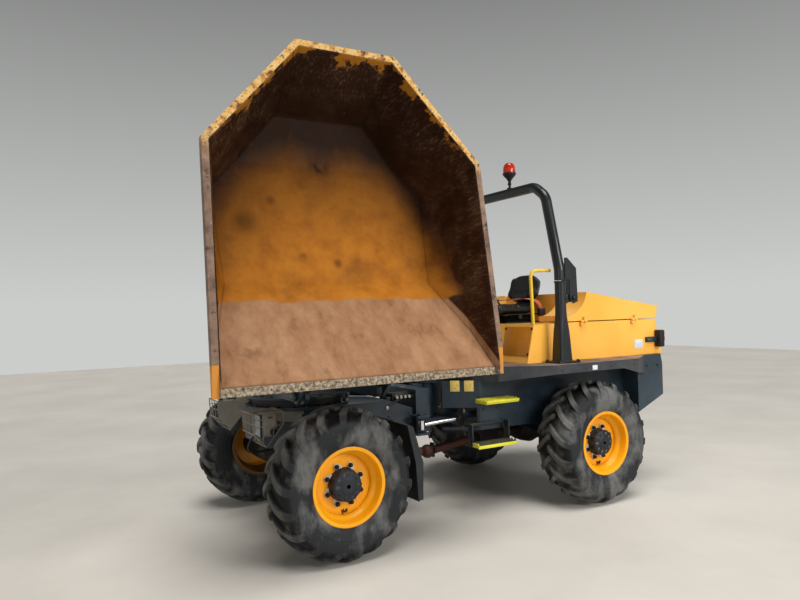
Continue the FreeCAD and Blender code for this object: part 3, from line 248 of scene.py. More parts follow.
def screws(*rows, sides=(1, -1)):
    """Bolt heads on both sides, from rows of x, y, z, axis, radius, height and finish."""
    return [(bolts(spots(x, side * np.array(y), z), axis * [1, side, 1], radius, height), key)
        for side in sides for x, y, z, axis, radius, height, key in rows]


# Pieces

def piece(name, body, parts, attribute=None):
    """Object of the surfaces in parts, each with its finish's key, that rides on a body."""
    points, faces = joined(*[surface for surface, key in parts])
    mesh = bpy.data.meshes.new(name)
    mesh.from_pydata(points, [], faces)
    index = np.repeat(np.arange(len(parts)), [len(surface[1]) for surface, key in parts])
    mesh.polygons.foreach_set("material_index", index.astype(np.int32))
    if attribute is not None:
        mesh.attributes.new("tread", "FLOAT", "POINT").data.foreach_set("value",
            attribute.astype(np.float32))
    for _, key in parts:
        mesh.materials.append(coat(key))
    shape = bmesh.new()
    shape.from_mesh(mesh)
    bmesh.ops.remove_doubles(shape, verts=shape.verts, dist=WELD)
    bmesh.ops.dissolve_degenerate(shape, edges=shape.edges, dist=1e-6)
    bmesh.ops.recalc_face_normals(shape, faces=shape.faces)
    shape.to_mesh(mesh)
    shape.free()
    mesh.shade_smooth()
    mesh.set_sharp_from_angle(angle=CREASE)
    made = bpy.data.objects.new(name, mesh)
    bpy.context.scene.collection.objects.link(made)
    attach(made, body)
    return made


# Materials

def rgb(code):
    """Linear colour of an sRGB hex code, or the panel's own linear colour as it is."""
    if not isinstance(code, str):
        return tuple(code)
    value = np.array([int(code[k:k + 2], 16) for k in (1, 3, 5)]) / 255
    return tuple(np.where(value <= 0.04045, value / 12.92, ((value + 0.055) / 1.055) ** 2.4)) + (1.0,)


def node(tree, kind, links=None, stops=None, **settings):
    """Adds a node with its settings, and gives each input a value or a link."""
    made = tree.nodes.new("ShaderNode" + kind)
    for key, value in settings.items():
        setattr(made, key, value)
    if stops:
        elements = made.color_ramp.elements
        while len(elements) < len(stops):
            elements.new(0.5)
        for element, (place, colour) in zip(elements, stops):
            element.position = place
            element.color = rgb(colour)
    for key, value in (links or {}).items():
        if isinstance(value, bpy.types.Node):
            value = value.outputs[0]
        if isinstance(value, bpy.types.NodeSocket):
            tree.links.new(value, made.inputs[key])
        else:
            made.inputs[key].default_value = value
    return made


def noise(tree, vector, scale, detail, rough=0.5):
    """Cloudy noise from 0 to 1, mostly between 0.3 and 0.7."""
    return node(tree, "TexNoise", {"Vector": vector, "Scale": scale, "Detail": detail, "Roughness": rough})


def calc(tree, operation, *values):
    return node(tree, "Math", dict(enumerate(values)), operation=operation)


def ranged(tree, value, low, high, start=0.0, end=1.0):
    """Carries a value from low and high to start and end, and holds it there."""
    return node(tree, "MapRange", {0: value, 1: low, 2: high, 3: start, 4: end})


def ramp(tree, value, *stops):
    """Colours by a value, each stop with its place and its colour."""
    return node(tree, "ValToRGB", {"Fac": value}, stops)


def blend(tree, share, one, other):
    """Mixes two colours, each a node, a colour or a hex code."""
    one, other = (rgb(c) if isinstance(c, str) else c for c in (one, other))
    return node(tree, "MixRGB", {"Fac": share, "Color1": one, "Color2": other})


def feed(tree, shader, socket, made):
    """Links a node's first output to a socket of the shader."""
    tree.links.new(made.outputs[0], shader.inputs[socket])


def material(name, **sockets):
    """New material with the shader's own sockets set."""
    made = bpy.data.materials.new(name)
    made.use_nodes = True
    shader = made.node_tree.nodes["Principled BSDF"]
    for key, value in sockets.items():
        shader.inputs[key.replace("_", " ")].default_value = value
    return made, made.node_tree, shader


def finish(name, colour, dark, dust, bare, dusty=0.35, worn=0.5, rough=0.45, metal=0.0, grain=220.0,
           bump=0.12, cloud=2.4, edge=0.004, coat=0.0, rub=26.0):
    """A coat that dulls in clouds, gathers dust on what faces up (on the bonnet also a painted highlight), and
    is rubbed bare along its edges.
    """
    made, tree, shader = material(name, Metallic=metal, Coat_Weight=coat, Specular_IOR_Level=0.34)
    place = node(tree, "TexCoord").outputs["Object"]
    clouds = noise(tree, place, cloud, 6.0, 0.62)
    fine = noise(tree, place, rub, 8.0, 0.7)
    grains = noise(tree, place, grain, 3.0)
    shape = node(tree, "NewGeometry")
    soft = node(tree, "Bevel", {"Radius": edge}, samples=4)
    facing = node(tree, "VectorMath", {0: soft, 1: shape.outputs["Normal"]}, operation="DOT_PRODUCT")
    rim = ranged(tree, facing.outputs["Value"], 0.999, 0.9)
    rubbed = calc(tree, "MULTIPLY", rim, fine)
    bared = ranged(tree, rubbed, 0.52 - worn * 0.3, 0.62 - worn * 0.3)
    shade = ramp(tree, clouds, (0.35, dark), (0.62, colour))
    # what faces up takes the dust colour: real dust, and on the bonnet, whose dust colour is pale yellow, a
    # painted highlight too
    up = node(tree, "SeparateXYZ", {0: shape.outputs["Normal"]})
    level = ranged(tree, up.outputs["Z"], 0.2, 0.95, 0.12, 1.0)
    patches = ranged(tree, clouds, 0.38, 0.66, 0.25, 1.0)
    dust_and_painted_light = calc(tree, "MULTIPLY", level, patches)
    dusted = calc(tree, "MULTIPLY", dust_and_painted_light, dusty)
    first = blend(tree, dusted, shade, dust)
    last = blend(tree, bared, first, bare)
    feed(tree, shader, "Base Color", last)
    dull = ranged(tree, clouds, 0.3, 0.7, rough - 0.07, rough + 0.12)
    feed(tree, shader, "Roughness", dull)
    relief = node(tree, "Bump", {"Strength": bump, "Distance": 0.002, "Height": grains, "Normal": soft})
    feed(tree, shader, "Normal", relief)
    return made


def dirty_inside(made):
    """Mud that clings to the inner side of the wheels, where nobody washes: dark brown towards the axle."""
    tree = made.node_tree
    target = tree.nodes["Principled BSDF"].inputs["Base Color"]
    painted = target.links[0].from_node
    axes = node(tree, "SeparateXYZ", {0: node(tree, "TexCoord").outputs["Object"]})
    middle = float(ORIGIN[1])
    away = calc(tree, "SUBTRACT", axes.outputs["Y"], middle)
    far = calc(tree, "ABSOLUTE", away)
    clods = noise(tree, node(tree, "TexCoord").outputs["Object"], 14.0, 6.0)
    ragged = calc(tree, "MULTIPLY_ADD", clods, 0.05, far)
    track = abs(float(rim_middle("front_left")[1]) - middle)
    share = ranged(tree, ragged, track - 0.01, track + 0.02, 0.92, 0.0)
    mud = ramp(tree, clods, (0.35, "#24170f"), (0.6, "#3d2818"))
    mixed = blend(tree, share, painted, mud)
    tree.links.new(mixed.outputs[0], target)
    return made


def plain(name, colour, **sockets):
    """A small part's even finish, with a slight mottle so that it is never one flat colour."""
    made, tree, shader = material(name, **sockets)
    place = node(tree, "TexCoord").outputs["Object"]
    mottle = noise(tree, place, 45.0, 4.0)
    low = tuple(c * 0.72 for c in rgb(colour)[:3]) + (1.0,)
    shade = ramp(tree, mottle, (0.35, low), (0.65, colour))
    feed(tree, shader, "Base Color", shade)
    relief = node(tree, "Bump", {"Strength": 0.08, "Distance": 0.001, "Height": mottle})
    feed(tree, shader, "Normal", relief)
    return made


def rubber(name):
    """Black carbon rubber: grey where dust sits in the grooves and on the walls, rubbed paler on the bars'
    tops, and darker in the grooves and at the bars' feet as painted shade.
    """
    made, tree, shader = material(name, Specular_IOR_Level=0.3)
    place = node(tree, "TexCoord").outputs["Object"]
    tread = node(tree, "Attribute", attribute_name="tread").outputs["Fac"]
    clouds = noise(tree, place, 3.2, 5.0, 0.58)
    fine = noise(tree, place, 110.0, 4.0, 0.6)
    slanted = node(tree, "Mapping", {0: place, 2: (0.0, 0.9, 0.0), 3: (7.0, 3.5, 3.0)})
    smears = noise(tree, slanted, 1.0, 6.0, 0.62)
    both = calc(tree, "MULTIPLY", clouds, smears)
    dust = ranged(tree, both, 0.23, 0.35, 0.0, 0.62)
    # by the tread value: near black in the grooves and at the bars' feet as painted shade, paler on the bars'
    # tops where they are rubbed
    base = ramp(tree, tread, (0.0, "#060707"), (0.3, "#0f1011"), (0.5, "#1e2123"), (0.78, "#2c2d2c"),
        (1.0, "#4d4b45"))
    mixed = blend(tree, dust, base, "#7a7a78")
    feed(tree, shader, "Base Color", mixed)
    dull = ranged(tree, clouds, 0.3, 0.7, 0.55, 0.9)
    feed(tree, shader, "Roughness", dull)
    relief = node(tree, "Bump", {"Strength": 0.25, "Distance": 0.002, "Height": fine})
    feed(tree, shader, "Normal", relief)
    return made


def skip_place(tree):
    """Object coordinates turned to the skip's own: back from the lip, below the rim's plane, and across."""
    place = node(tree, "TexCoord").outputs["Object"]
    home = (-LIP[0], -(LIP @ BACK), LIP @ OUT)
    local = node(tree, "Mapping", {"Vector": place, "Location": home, "Rotation": (math.pi + TIP, 0, 0)})
    axes = node(tree, "SeparateXYZ", {0: local})
    across_it = calc(tree, "ABSOLUTE", axes.outputs["X"])
    return local, axes.outputs["Y"], axes.outputs["Z"], across_it


def rim_coat():
    """Enamel chipped to rust: mauve-brown stiles, yellow left on the bevels and the top, a corroded lip."""
    made, tree, shader = material("chipped_rim_enamel", Specular_IOR_Level=0.3)
    local, s, _, w = skip_place(tree)
    wide = noise(tree, local, 6.0, 5.0, 0.6)
    chips = noise(tree, local, 13.0, 12.0, 0.74)
    grit = noise(tree, local, 42.0, 9.0, 0.75)
    along = node(tree, "Mapping", {0: local, 3: (40.0, 5.0, 40.0)})
    scratch = noise(tree, along, 1.5, 6.0, 0.75)
    stile = ramp(tree, wide, (0.34, "#553c2c"), (0.52, "#7a6150"), (0.68, "#94795c"))
    yellow = ramp(tree, chips, (0.4, "#5a3517"), (0.46, "#b98a48"), (0.54, "#d6ac62"), (0.64, "#e6d2ae"))
    high = ranged(tree, s, 1.4, 1.56)
    body = blend(tree, high, stile, yellow)
    rusted = ranged(tree, chips, 0.565, 0.6, 0.0, 0.9)
    rusty = blend(tree, rusted, body, "#2e190c")
    pale = ranged(tree, scratch, 0.6, 0.67, 0.0, 0.6)
    scratched = blend(tree, pale, rusty, "#cdc3b0")
    eaten = ramp(tree, grit, (0.36, "#2a2018"), (0.45, "#5f5142"), (0.52, "#8b7c66"), (0.64, "#b3a389"))
    at_lip = ranged(tree, s, 0.012, 0.002)
    lipped = blend(tree, at_lip, scratched, eaten)
    end = ranged(tree, s, 0.138, 0.132)
    outer = ranged(tree, w, 1.01, 1.013)
    cut = calc(tree, "MULTIPLY", end, outer)
    last = blend(tree, cut, lipped, "#c48330")
    feed(tree, shader, "Base Color", last)
    dull = ranged(tree, wide, 0.3, 0.7, 0.42, 0.7)
    feed(tree, shader, "Roughness", dull)
    heights = calc(tree, "ADD", chips, grit)
    soft = node(tree, "Bevel", {"Radius": 0.004}, samples=4)
    relief = node(tree, "Bump", {"Strength": 0.5, "Distance": 0.004, "Height": heights, "Normal": soft})
    feed(tree, shader, "Normal", relief)
    return made


def skip_coat():
    """Enamel scoured off by spoil: bare brown steel on chute and walls, old orange left in an arch, and painted
    shade that darkens the bowl far back from the lip and the orange towards the arch's top.
    """
    made, tree, shader = material("scoured_skip_enamel", Specular_IOR_Level=0.1)
    local, s, e, w = skip_place(tree)
    wide = noise(tree, local, 2.1, 4.0, 0.55)
    wavy = noise(tree, local, 5.5, 7.0, 0.68)
    fine = noise(tree, local, 48.0, 8.0, 0.72)
    down = node(tree, "Mapping", {0: local, 3: (44.0, 44.0, 2.0)})
    strokes = noise(tree, down, 1.6, 7.0, 0.75)
    lengthwise = node(tree, "Mapping", {0: local, 3: (6.5, 1.1, 6.5)})
    runs = noise(tree, lengthwise, 1.0, 6.0, 0.7)

    # how far a point stands off the bottom, whose depth rises to 0.52 at the fold and then to 0.60
    chute_deep = calc(tree, "MULTIPLY", s, CHUTE_SLOPE)
    back_deep = calc(tree, "MULTIPLY_ADD", s, BACK_SLOPE, BACK_DEPTH)
    bottom_deep = calc(tree, "MINIMUM", chute_deep, back_deep)
    off = calc(tree, "SUBTRACT", bottom_deep, e)
    on_floor = ranged(tree, off, 0.035, 0.02)
    drift = calc(tree, "MULTIPLY", wide, 0.3)
    off_soft = calc(tree, "ADD", off, drift)
    near = ranged(tree, off_soft, 0.32, 0.17)

    # the orange lies between a wavy edge on the chute and an arch that falls away to both sides
    shift = calc(tree, "MULTIPLY", wavy, 0.14)
    s_edge = calc(tree, "SUBTRACT", s, shift)
    chute = ranged(tree, s_edge, 0.488, 0.506)
    bend = calc(tree, "POWER", w, 3.0)
    arch = calc(tree, "MULTIPLY_ADD", bend, 0.85, s)
    arch_soft = calc(tree, "MULTIPLY_ADD", wide, 0.28, arch)
    under = ranged(tree, arch_soft, 1.96, 1.66)
    kept = calc(tree, "MULTIPLY", chute, under)
    orange_at = calc(tree, "MULTIPLY", kept, near)

    brown = ramp(tree, wavy, (0.3, "#241206"), (0.48, "#331a0b"), (0.6, "#3f2818"), (0.74, "#55402f"))
    fresh = ramp(tree, wavy, (0.28, "#8a5010"), (0.5, "#a6651a"), (0.72, "#b87628"))
    # painted shade: the orange darkens towards the top of the arch
    arch_painted_shade = ranged(tree, arch_soft, 1.1, 1.85, 0.0, 0.75)
    orange = blend(tree, arch_painted_shade, fresh, "#4a2c0a")
    bare = ramp(tree, runs, (0.28, "#6f492f"), (0.42, "#8c6446"), (0.6, "#9d7555"), (0.76, "#aa8564"))
    steel = blend(tree, on_floor, brown, bare)
    lower = ranged(tree, s_edge, 0.6, 0.5)
    floored = blend(tree, lower, brown, steel)
    # painted shade: far back from the lip, towards the top of the tipped bowl, the colour darkens to near black
    far = ranged(tree, s, 1.45, 1.75, 0.0, 0.62)
    deep_painted_shade = blend(tree, far, floored, "#1a0c04")
    body = blend(tree, orange_at, deep_painted_shade, orange)
    stains = ranged(tree, wavy, 0.6, 0.7, 0.0, 0.35)
    stained = blend(tree, stains, body, "#4a2a10")

    # strokes that loads have scraped down from the rim, pale steel and old yellow
    high = ranged(tree, e, 0.46, 0.06)
    scraped = ranged(tree, strokes, 0.5, 0.64, 0.0, 0.55)
    patchy = ranged(tree, wavy, 0.42, 0.6, 0.15, 1.0)
    scraped_some = calc(tree, "MULTIPLY", scraped, patchy)
    scraped_high = calc(tree, "MULTIPLY", scraped_some, high)
    tint = ramp(tree, wide, (0.44, "#6f5f50"), (0.58, "#8a6f52"))
    streaked = blend(tree, scraped_high, stained, tint)
    shallow = ranged(tree, e, 0.15, 0.02, -0.1, 0.15)
    kept_top = calc(tree, "ADD", wavy, shallow)
    far_back = ranged(tree, s, 1.5, 1.75)
    top_part = ranged(tree, kept_top, 0.62, 0.65, 0.0, 0.9)
    old_top = calc(tree, "MULTIPLY", top_part, far_back)
    edged = blend(tree, old_top, streaked, "#96601a")

    # pale hairline scratches, rust freckles, and dark scars at their own places
    hair = ranged(tree, strokes, 0.655, 0.685, 0.0, 0.32)
    haired = blend(tree, hair, edged, "#a89480")
    freckles = ranged(tree, fine, 0.66, 0.74, 0.0, 0.5)
    last = blend(tree, freckles, haired, "#3a1c0e")
    # columns: place across, back and below, outer radius, share
    scars = (((0.02, 1.62, 0.60), 0.11, 1.0), ((0.62, 1.15, 0.56), 0.12, 0.55), ((0.22, 0.90, 0.53), 0.05, 0.6),
        ((-0.05, 0.86, 0.53), 0.05, 0.6), ((0.42, 1.32, 0.57), 0.05, 0.5), ((0.75, 0.25, 0.19), 0.16, 0.35))
    for spot, reach, most in scars:
        away = node(tree, "VectorMath", {0: local, 1: spot}, operation="DISTANCE")
        scar = ranged(tree, away.outputs["Value"], reach, reach * 0.3, 0.0, most)
        rough = ranged(tree, wavy, 0.42, 0.52, 0.1, 1.0)
        share = calc(tree, "MULTIPLY", scar, rough)
        last = blend(tree, share, last, "#2e1507")

    # the outer faces, which look away from a point in front of the mouth, keep their enamel
    place = node(tree, "TexCoord")
    mouth = tuple(float(v) for v in on_skip(*MOUTH))
    to_mouth = node(tree, "VectorMath", {0: mouth, 1: place.outputs["Object"]}, operation="SUBTRACT")
    facing = node(tree, "VectorMath", {0: to_mouth, 1: place.outputs["Normal"]}, operation="DOT_PRODUCT")
    outer = ranged(tree, facing.outputs["Value"], 0.005, -0.005)
    enamel = ramp(tree, wavy, (0.32, "#c98524"), (0.55, "#e09a2a"), (0.75, "#e6a83c"))
    chipped = ranged(tree, fine, 0.62, 0.66, 0.0, 0.85)
    kept_coat = blend(tree, chipped, enamel, "#5a3418")
    last = blend(tree, outer, last, kept_coat)
    feed(tree, shader, "Base Color", last)
    inner_dull = ranged(tree, wavy, 0.3, 0.7, 0.5, 0.78)
    dull = blend(tree, outer, inner_dull, (0.4, 0.4, 0.4, 1.0))
    feed(tree, shader, "Roughness", dull)
    heights = calc(tree, "SUBTRACT", wavy, scraped_high)
    soft = node(tree, "Bevel", {"Radius": 0.03}, samples=6)
    relief = node(tree, "Bump", {"Strength": 0.35, "Distance": 0.007, "Height": heights, "Normal": soft})
    feed(tree, shader, "Normal", relief)
    return made


FINISHES = {}


def coat(key):
    """A finish of the machine: all are made together, once, from the panel's colours."""
    if not FINISHES:
        make_finishes(bpy.context.scene.dumper_paint)
    return FINISHES[key]


def make_finishes(paint):
    """Fills FINISHES: name, colour, darker colour, dust, bare metal, then how dusty, worn and rough."""
    FINISHES.update(
        # carbon rubber: near black and dull, lifted to a soft blue-grey wherever dust has been smeared on
        tyre=rubber("dusty_carbon_rubber"),
        # enamel on pressed steel: a warm, even, slightly glossy gold with grime towards the axle
        rim=dirty_inside(finish("golden_rim_enamel", paint.rim, "#f09c04", "#b98d4a", "#7a4f1c",
                                0.06, 0.15, 0.38, coat=0.12)),
        # painted casting: a rough blue-black skin with pale knocks on its edges
        hub=finish("hub_enamel", "#20262d", "#14181d", "#5e5a50", "#8b8f92", 0.10, 0.30, 0.5,
                   grain=120.0, bump=0.5),
        # nylon: milky white with a soft sheen
        retainer=plain("white_nylon", "#d9d6cc", Roughness=0.5, IOR=1.53),
        # spoil-scoured steel: dull brown oxide with pale scrapes, and enamel where nothing slides
        skip=skip_coat(),
        skip_edge=rim_coat(),
        # blue-grey enamel: half gloss, nearly black in shade, dusty where it faces up
        chassis=finish("blue_grey_enamel", paint.chassis, "#111d26", "#5f5d59", "#566068", 0.24, 0.30, 0.42,
                       grain=300.0, coat=0.15),
        # moulded bonnet enamel: clean satin orange-yellow, paler on what faces up, where dust lies and the pale
        # yellow also paints the highlight of light on the lid
        hood=finish("orange_yellow_enamel", paint.hood, "#f8b03c", "#f8d28c", "#b98a4a", 0.70, 0.12, 0.36,
                    grain=350.0, bump=0.05, edge=0.010, coat=0.3),
        # trodden deck plate: a matt brown film of dried mud over blue-grey enamel
        deck=finish("dusty_deck_enamel", "#2a363d", "#19232a", "#9a8070", "#5c4a3e", 0.95, 0.4, 0.6,
                    grain=160.0, bump=0.3, cloud=3.2),
        # black enamel on tube: sharp long highlights
        rops=finish("black_grey_enamel", "#101619", "#090d0f", "#4b4a46", "#3c4042", 0.14, 0.25, 0.36,
                    grain=500.0, coat=0.25),
        # signal enamels: bright and satin, dulled by boots on the treads
        rail=finish("signal_yellow_enamel", "#e4dc3a", "#cfc62e", "#b3ab5e", "#77703a", 0.15, 0.35, 0.45),
        grab=finish("golden_rail_enamel", "#ecc52c", "#dcb424", "#c2a95a", "#77703a", 0.12, 0.2, 0.4, coat=0.1),
        tread_steel=finish("dirty_yellow_enamel", "#4a4a2c", "#2b2c20", "#6b665a", "#8a8660", 0.35, 0.5, 0.6),
        guard=finish("black_guard_enamel", "#23292b", "#14181a", "#6b6a66", "#5a5e60", 0.30, 0.35, 0.5),
        # moulded plastic: fine grained and dull, never quite black
        plastic=finish("moulded_black_plastic", "#17181a", "#101112", "#5c5850", "#2b2c2d", 0.3, 0.2, 0.5,
                       grain=700.0, bump=0.2),
        # sand-cast iron: grainy, dark and wet with oil in places
        cast=finish("oily_cast_iron", "#1b1815", "#0e0c0b", "#4a3d32", "#332d28", 0.4, 0.3, 0.5,
                    grain=110.0, bump=0.6),
        # red oxide primer: flat brownish red with mud thrown on it
        shaft=finish("red_oxide_primer", "#5b2a20", "#34201a", "#6e5c4c", "#4a3a32", 0.35, 0.4, 0.55),
        # hard chrome, zinc plate and blackened steel: mirror bright, pale grey, and dark satin
        chrome=plain("hard_chrome", "#d4d6d8", Metallic=1.0, Roughness=0.14),
        zinc=plain("zinc_plated_steel", "#9a9890", Metallic=1.0, Roughness=0.42),
        bolt=plain("blackened_bolt_steel", "#2b2c2c", Metallic=0.7, Roughness=0.45),
        # galvanised wire: light grey, faintly metallic and dusty
        mesh=finish("galvanised_wire", "#8d8a80", "#6c685f", "#a79c86", "#5c5548", 0.5, 0.4, 0.55, metal=0.35),
        # vinyl: fine leather grain and a soft sheen along the seams
        vinyl=finish("black_vinyl", "#1b1c1d", "#131415", "#4a4843", "#242526", 0.22, 0.1, 0.38,
                     grain=900.0, bump=0.28, coat=0.1),
        # rubber parts: matt black
        bellows=plain("bellows_rubber", "#151515", Roughness=0.7),
        hose=plain("hose_rubber", "#161617", Roughness=0.55),
        # woven webbing: strong colour with a velvety edge
        webbing=plain("orange_webbing", "#c2551f", Roughness=0.75, Sheen_Weight=0.4),
        # clear parts: saturated or colourless, with small sharp highlights
        beacon=plain("red_beacon_lens", "#d8310f", Roughness=0.12, IOR=1.49, Transmission_Weight=0.25),
        glass=plain("lamp_glass", "#d5dadb", Roughness=0.08, IOR=1.52, Transmission_Weight=0.55),
        red=plain("red_lens", "#a3140c", Roughness=0.15, Transmission_Weight=0.15),
        amber=plain("amber_lens", "#d97a10", Roughness=0.15, Transmission_Weight=0.15),
        # printed vinyl: flat colour with a slight gloss, for the two labels
        sticker=plain("yellow_vinyl_label", "#d9bf62", Roughness=0.45),
        label=plain("white_vinyl_label", "#dfe3e4", Roughness=0.4),
        # painted shade: flat black sheets for the shade in the slits on the head lamps' cases
        dark=plain("painted_shade_black", "#0b0b0c", Roughness=0.8),
        # sun-faded plastic: chalky grey
        lamp_case=finish("faded_grey_plastic", "#87827a", "#655f57", "#97907f", "#4d4943", 0.45, 0.2, 0.5),
        # enamel on a rough casting: lighter blue-grey, uneven
        weight=finish("cast_weight_enamel", "#34454f", "#26333c", "#6b6862", "#4a565e", 0.22, 0.3, 0.46,
                      grain=140.0, bump=0.3, coat=0.1),
        # rubber sheet: matt black with dust
        flap=finish("flap_rubber", "#141414", "#0d0d0e", "#4d4a43", "#232323", 0.35, 0.1, 0.75),
        # the same orange enamel, darker as painted shade, for the covers on the seat box's front, which faces
        # away from the light
        box_front=finish("orange_enamel_painted_shade", "#c87e08", "#b06c04", "#b9853c", "#7a4f1c", 0.12, 0.2, 0.4,
                         grain=350.0, bump=0.05, coat=0.3),
    )


CAD_FINISHES = {
    "chassis": ("front_frame", "frame_rails", "frame_nose", "axle_saddle", "steer_bracket",
                "tow_jaw", "turntable", "skip_brackets", "tip_barrel", "steer_barrel"),
    "weight": ("counterweight",), "skip": ("skip_bowl",), "skip_edge": ("skip_rim",), "deck": ("deck",),
    "hood": ("lower_bonnet", "bonnet_lid", "seat_box"),
    "rops": ("rops_legs", "rops_hoop"), "rail": ("steps",), "grab": ("grab_rails",),
    "guard": ("front_mudguards",),
    "plastic": ("console", "seat_base", "steering_wheel", "control_levers", "beacon_base", "tail_lamps",
                "head_lamps"),
    "cast": ("rear_axle", "front_axle", "engine_block", "transmission", "slew_ring", "slew_motor"),
    "shaft": ("prop_shafts", "front_shaft"), "chrome": ("tip_rod", "steer_rod"), "mesh": ("lamp_guards",),
    "vinyl": ("seat_cushion", "seat_back"), "beacon": ("beacon_lens",),
}


# The user's sizes and colours

class DumperWheelSettings(bpy.types.PropertyGroup):
    pairs: IntProperty(name="Bar pairs", description="Pairs of tread bars round a tyre", default=18, min=12,
        max=26)
    sweep: FloatProperty(name="Bar sweep", description="How far a bar runs back on its way out",
        default=math.radians(17), subtype="ANGLE")
    bar_width: FloatProperty(name="Bar width", description="Width of a bar at its foot", default=0.07,
        unit="LENGTH")


class DumperStageSettings(bpy.types.PropertyGroup):
    floor: FloatVectorProperty(name="Floor", description="Colour of the studio floor", subtype="COLOR",
        size=4, default=rgb("#cfc9bf"), min=0, max=1)
    key: FloatProperty(name="Key light", description="Power of the large soft light", default=385.0,
        unit="POWER")


class DumperPaintSettings(bpy.types.PropertyGroup):
    hood: FloatVectorProperty(name="Bonnet", description="Enamel of the bonnet and seat box",
        subtype="COLOR", size=4, default=rgb("#fcb844"), min=0, max=1)
    rim: FloatVectorProperty(name="Rims", description="Enamel of the wheel rims", subtype="COLOR", size=4,
        default=rgb("#fcae06"), min=0, max=1)
    chassis: FloatVectorProperty(name="Chassis", description="Enamel of the two chassis halves",
        subtype="COLOR", size=4, default=rgb("#22333f"), min=0, max=1)


# Operators

class DUMPER_OT_stage(bpy.types.Operator):
    """Pale floor, soft studio lights, and the camera at the photograph's view"""
    bl_idname = "dumper.stage"
    bl_label = "Stage"

    def execute(self, context):
        settings = context.scene.dumper_stage
        floor, tree, shader = material("sealed_concrete", Roughness=0.55)
        place = node(tree, "TexCoord").outputs["Object"]
        clouds = noise(tree, place, 0.6, 6.0, 0.6)
        low = tuple(c * 0.86 for c in settings.floor[:3]) + (1.0,)
        shade = ramp(tree, clouds, (0.35, low), (0.65, tuple(settings.floor)))
        feed(tree, shader, "Base Color", shade)
        ground = ground_piece("floor", 40.0, floor)
        context.scene.view_settings.view_transform = "Standard"
        world = bpy.data.worlds.new("studio")
        context.scene.world = world
        world.use_nodes = True
        tree = world.node_tree
        back = tree.nodes["Background"]
        back.inputs["Color"].default_value = rgb("#eef0ee")
        rise = node(tree, "SeparateXYZ", {0: node(tree, "TexCoord").outputs["Generated"]})
        glow = ranged(tree, rise.outputs["Z"], 0.02, 0.6, 0.7, 0.08)
        feed(tree, back, "Strength", glow)
        # columns: name, place, aim, width, height, share of the key's power
        lights = (("key", (-2.6, 8.5, 4.6), (0, 0, 1.3), 4.0, 3.0, 1.15),
            ("front", (8.0, 5.0, 3.0), (0, 0, 1.5), 3.0, 3.0, 0.18))
        for name, spot, aim, width, height, share in lights:
            lamp = bpy.data.lights.new(name, "AREA")
            lamp.shape = "RECTANGLE"
            lamp.size, lamp.size_y = width, height
            lamp.energy = settings.key * share
            holder = bpy.data.objects.new(name, lamp)
            context.scene.collection.objects.link(holder)
            holder.location = spot
            direction = np.array(aim) - np.array(spot)
            holder.rotation_mode = "QUATERNION"
            holder.rotation_quaternion = Vector(direction).to_track_quat("-Z", "Y")
        sky = bpy.data.lights.new("roof_light", "SUN")
        sky.energy = 2.7
        sky.angle = math.radians(34)
        holder = bpy.data.objects.new("roof_light", sky)
        context.scene.collection.objects.link(holder)
        holder.rotation_mode = "QUATERNION"
        holder.rotation_quaternion = Vector((-0.5, -2.0, -7.0)).to_track_quat("-Z", "Y")
        add_camera(context)
        return {"FINISHED"}


def ground_piece(name, size, finish):
    """Large flat grid at the ground."""
    side = np.linspace(-size / 2, size / 2, 9)
    x, y = np.meshgrid(side, side, indexing="ij")
    points, faces = grid(np.stack([x, y, np.zeros_like(x)], -1))
    mesh = bpy.data.meshes.new(name)
    mesh.from_pydata(points, [], faces)
    mesh.materials.append(finish)
    made = bpy.data.objects.new(name, mesh)
    bpy.context.scene.collection.objects.link(made)
    return made


def add_camera(context):
    """Camera solved from the wheels and the skip's rim"""
    yaw, pitch, roll = CAMERA_TURN
    ahead = np.array([math.cos(pitch) * math.cos(yaw), math.cos(pitch) * math.sin(yaw), math.sin(pitch)])
    right = np.cross(ahead, Z)
    right /= np.linalg.norm(right)
    up = np.cross(right, ahead)
    right, up = (math.cos(roll) * right + math.sin(roll) * up, -math.sin(roll) * right + math.cos(roll)
        * up)
    lens = bpy.data.cameras.new("camera")
    lens.sensor_width = 36.0
    lens.lens = FOCAL_PIXELS * lens.sensor_width / PHOTO_WIDTH
    lens.clip_end = 200.0
    camera = bpy.data.objects.new("camera", lens)
    context.scene.collection.objects.link(camera)
    turn = np.eye(4)
    turn[:3, 0], turn[:3, 1], turn[:3, 2] = right, up, -ahead
    turn[:3, 3] = mm(*CAMERA_PLACE)
    camera.matrix_world = Matrix(turn.tolist())
    context.scene.camera = camera


class DUMPER_OT_paint(bpy.types.Operator):
    """Gives every solid of the frame its finish"""
    bl_idname = "dumper.paint"
    bl_label = "Paint the frame"

    def execute(self, context):
        for name, nodes in CAD_FINISHES.items():
            for part_name in nodes:
                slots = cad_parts[part_name].data.materials
                slots.clear()
                slots.append(coat(name))
        return {"FINISHED"}


class DUMPER_OT_tyres(bpy.types.Operator):
    """Tyres with swept bars, round shoulders and dusty walls"""
    bl_idname = "dumper.tyres"
    bl_label = "Tyres"

    def execute(self, context):
        settings = context.scene.dumper_wheels
        for name in WHEELS:
            surfaces, tread = tyre_surfaces(rim_middle(name), settings)
            tyre = piece("tyre_dressed_" + name, "wheel_" + name, [(s, "tyre") for s in surfaces],
                attribute=tread)
            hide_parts("tyre_" + name)
        return {"FINISHED"}


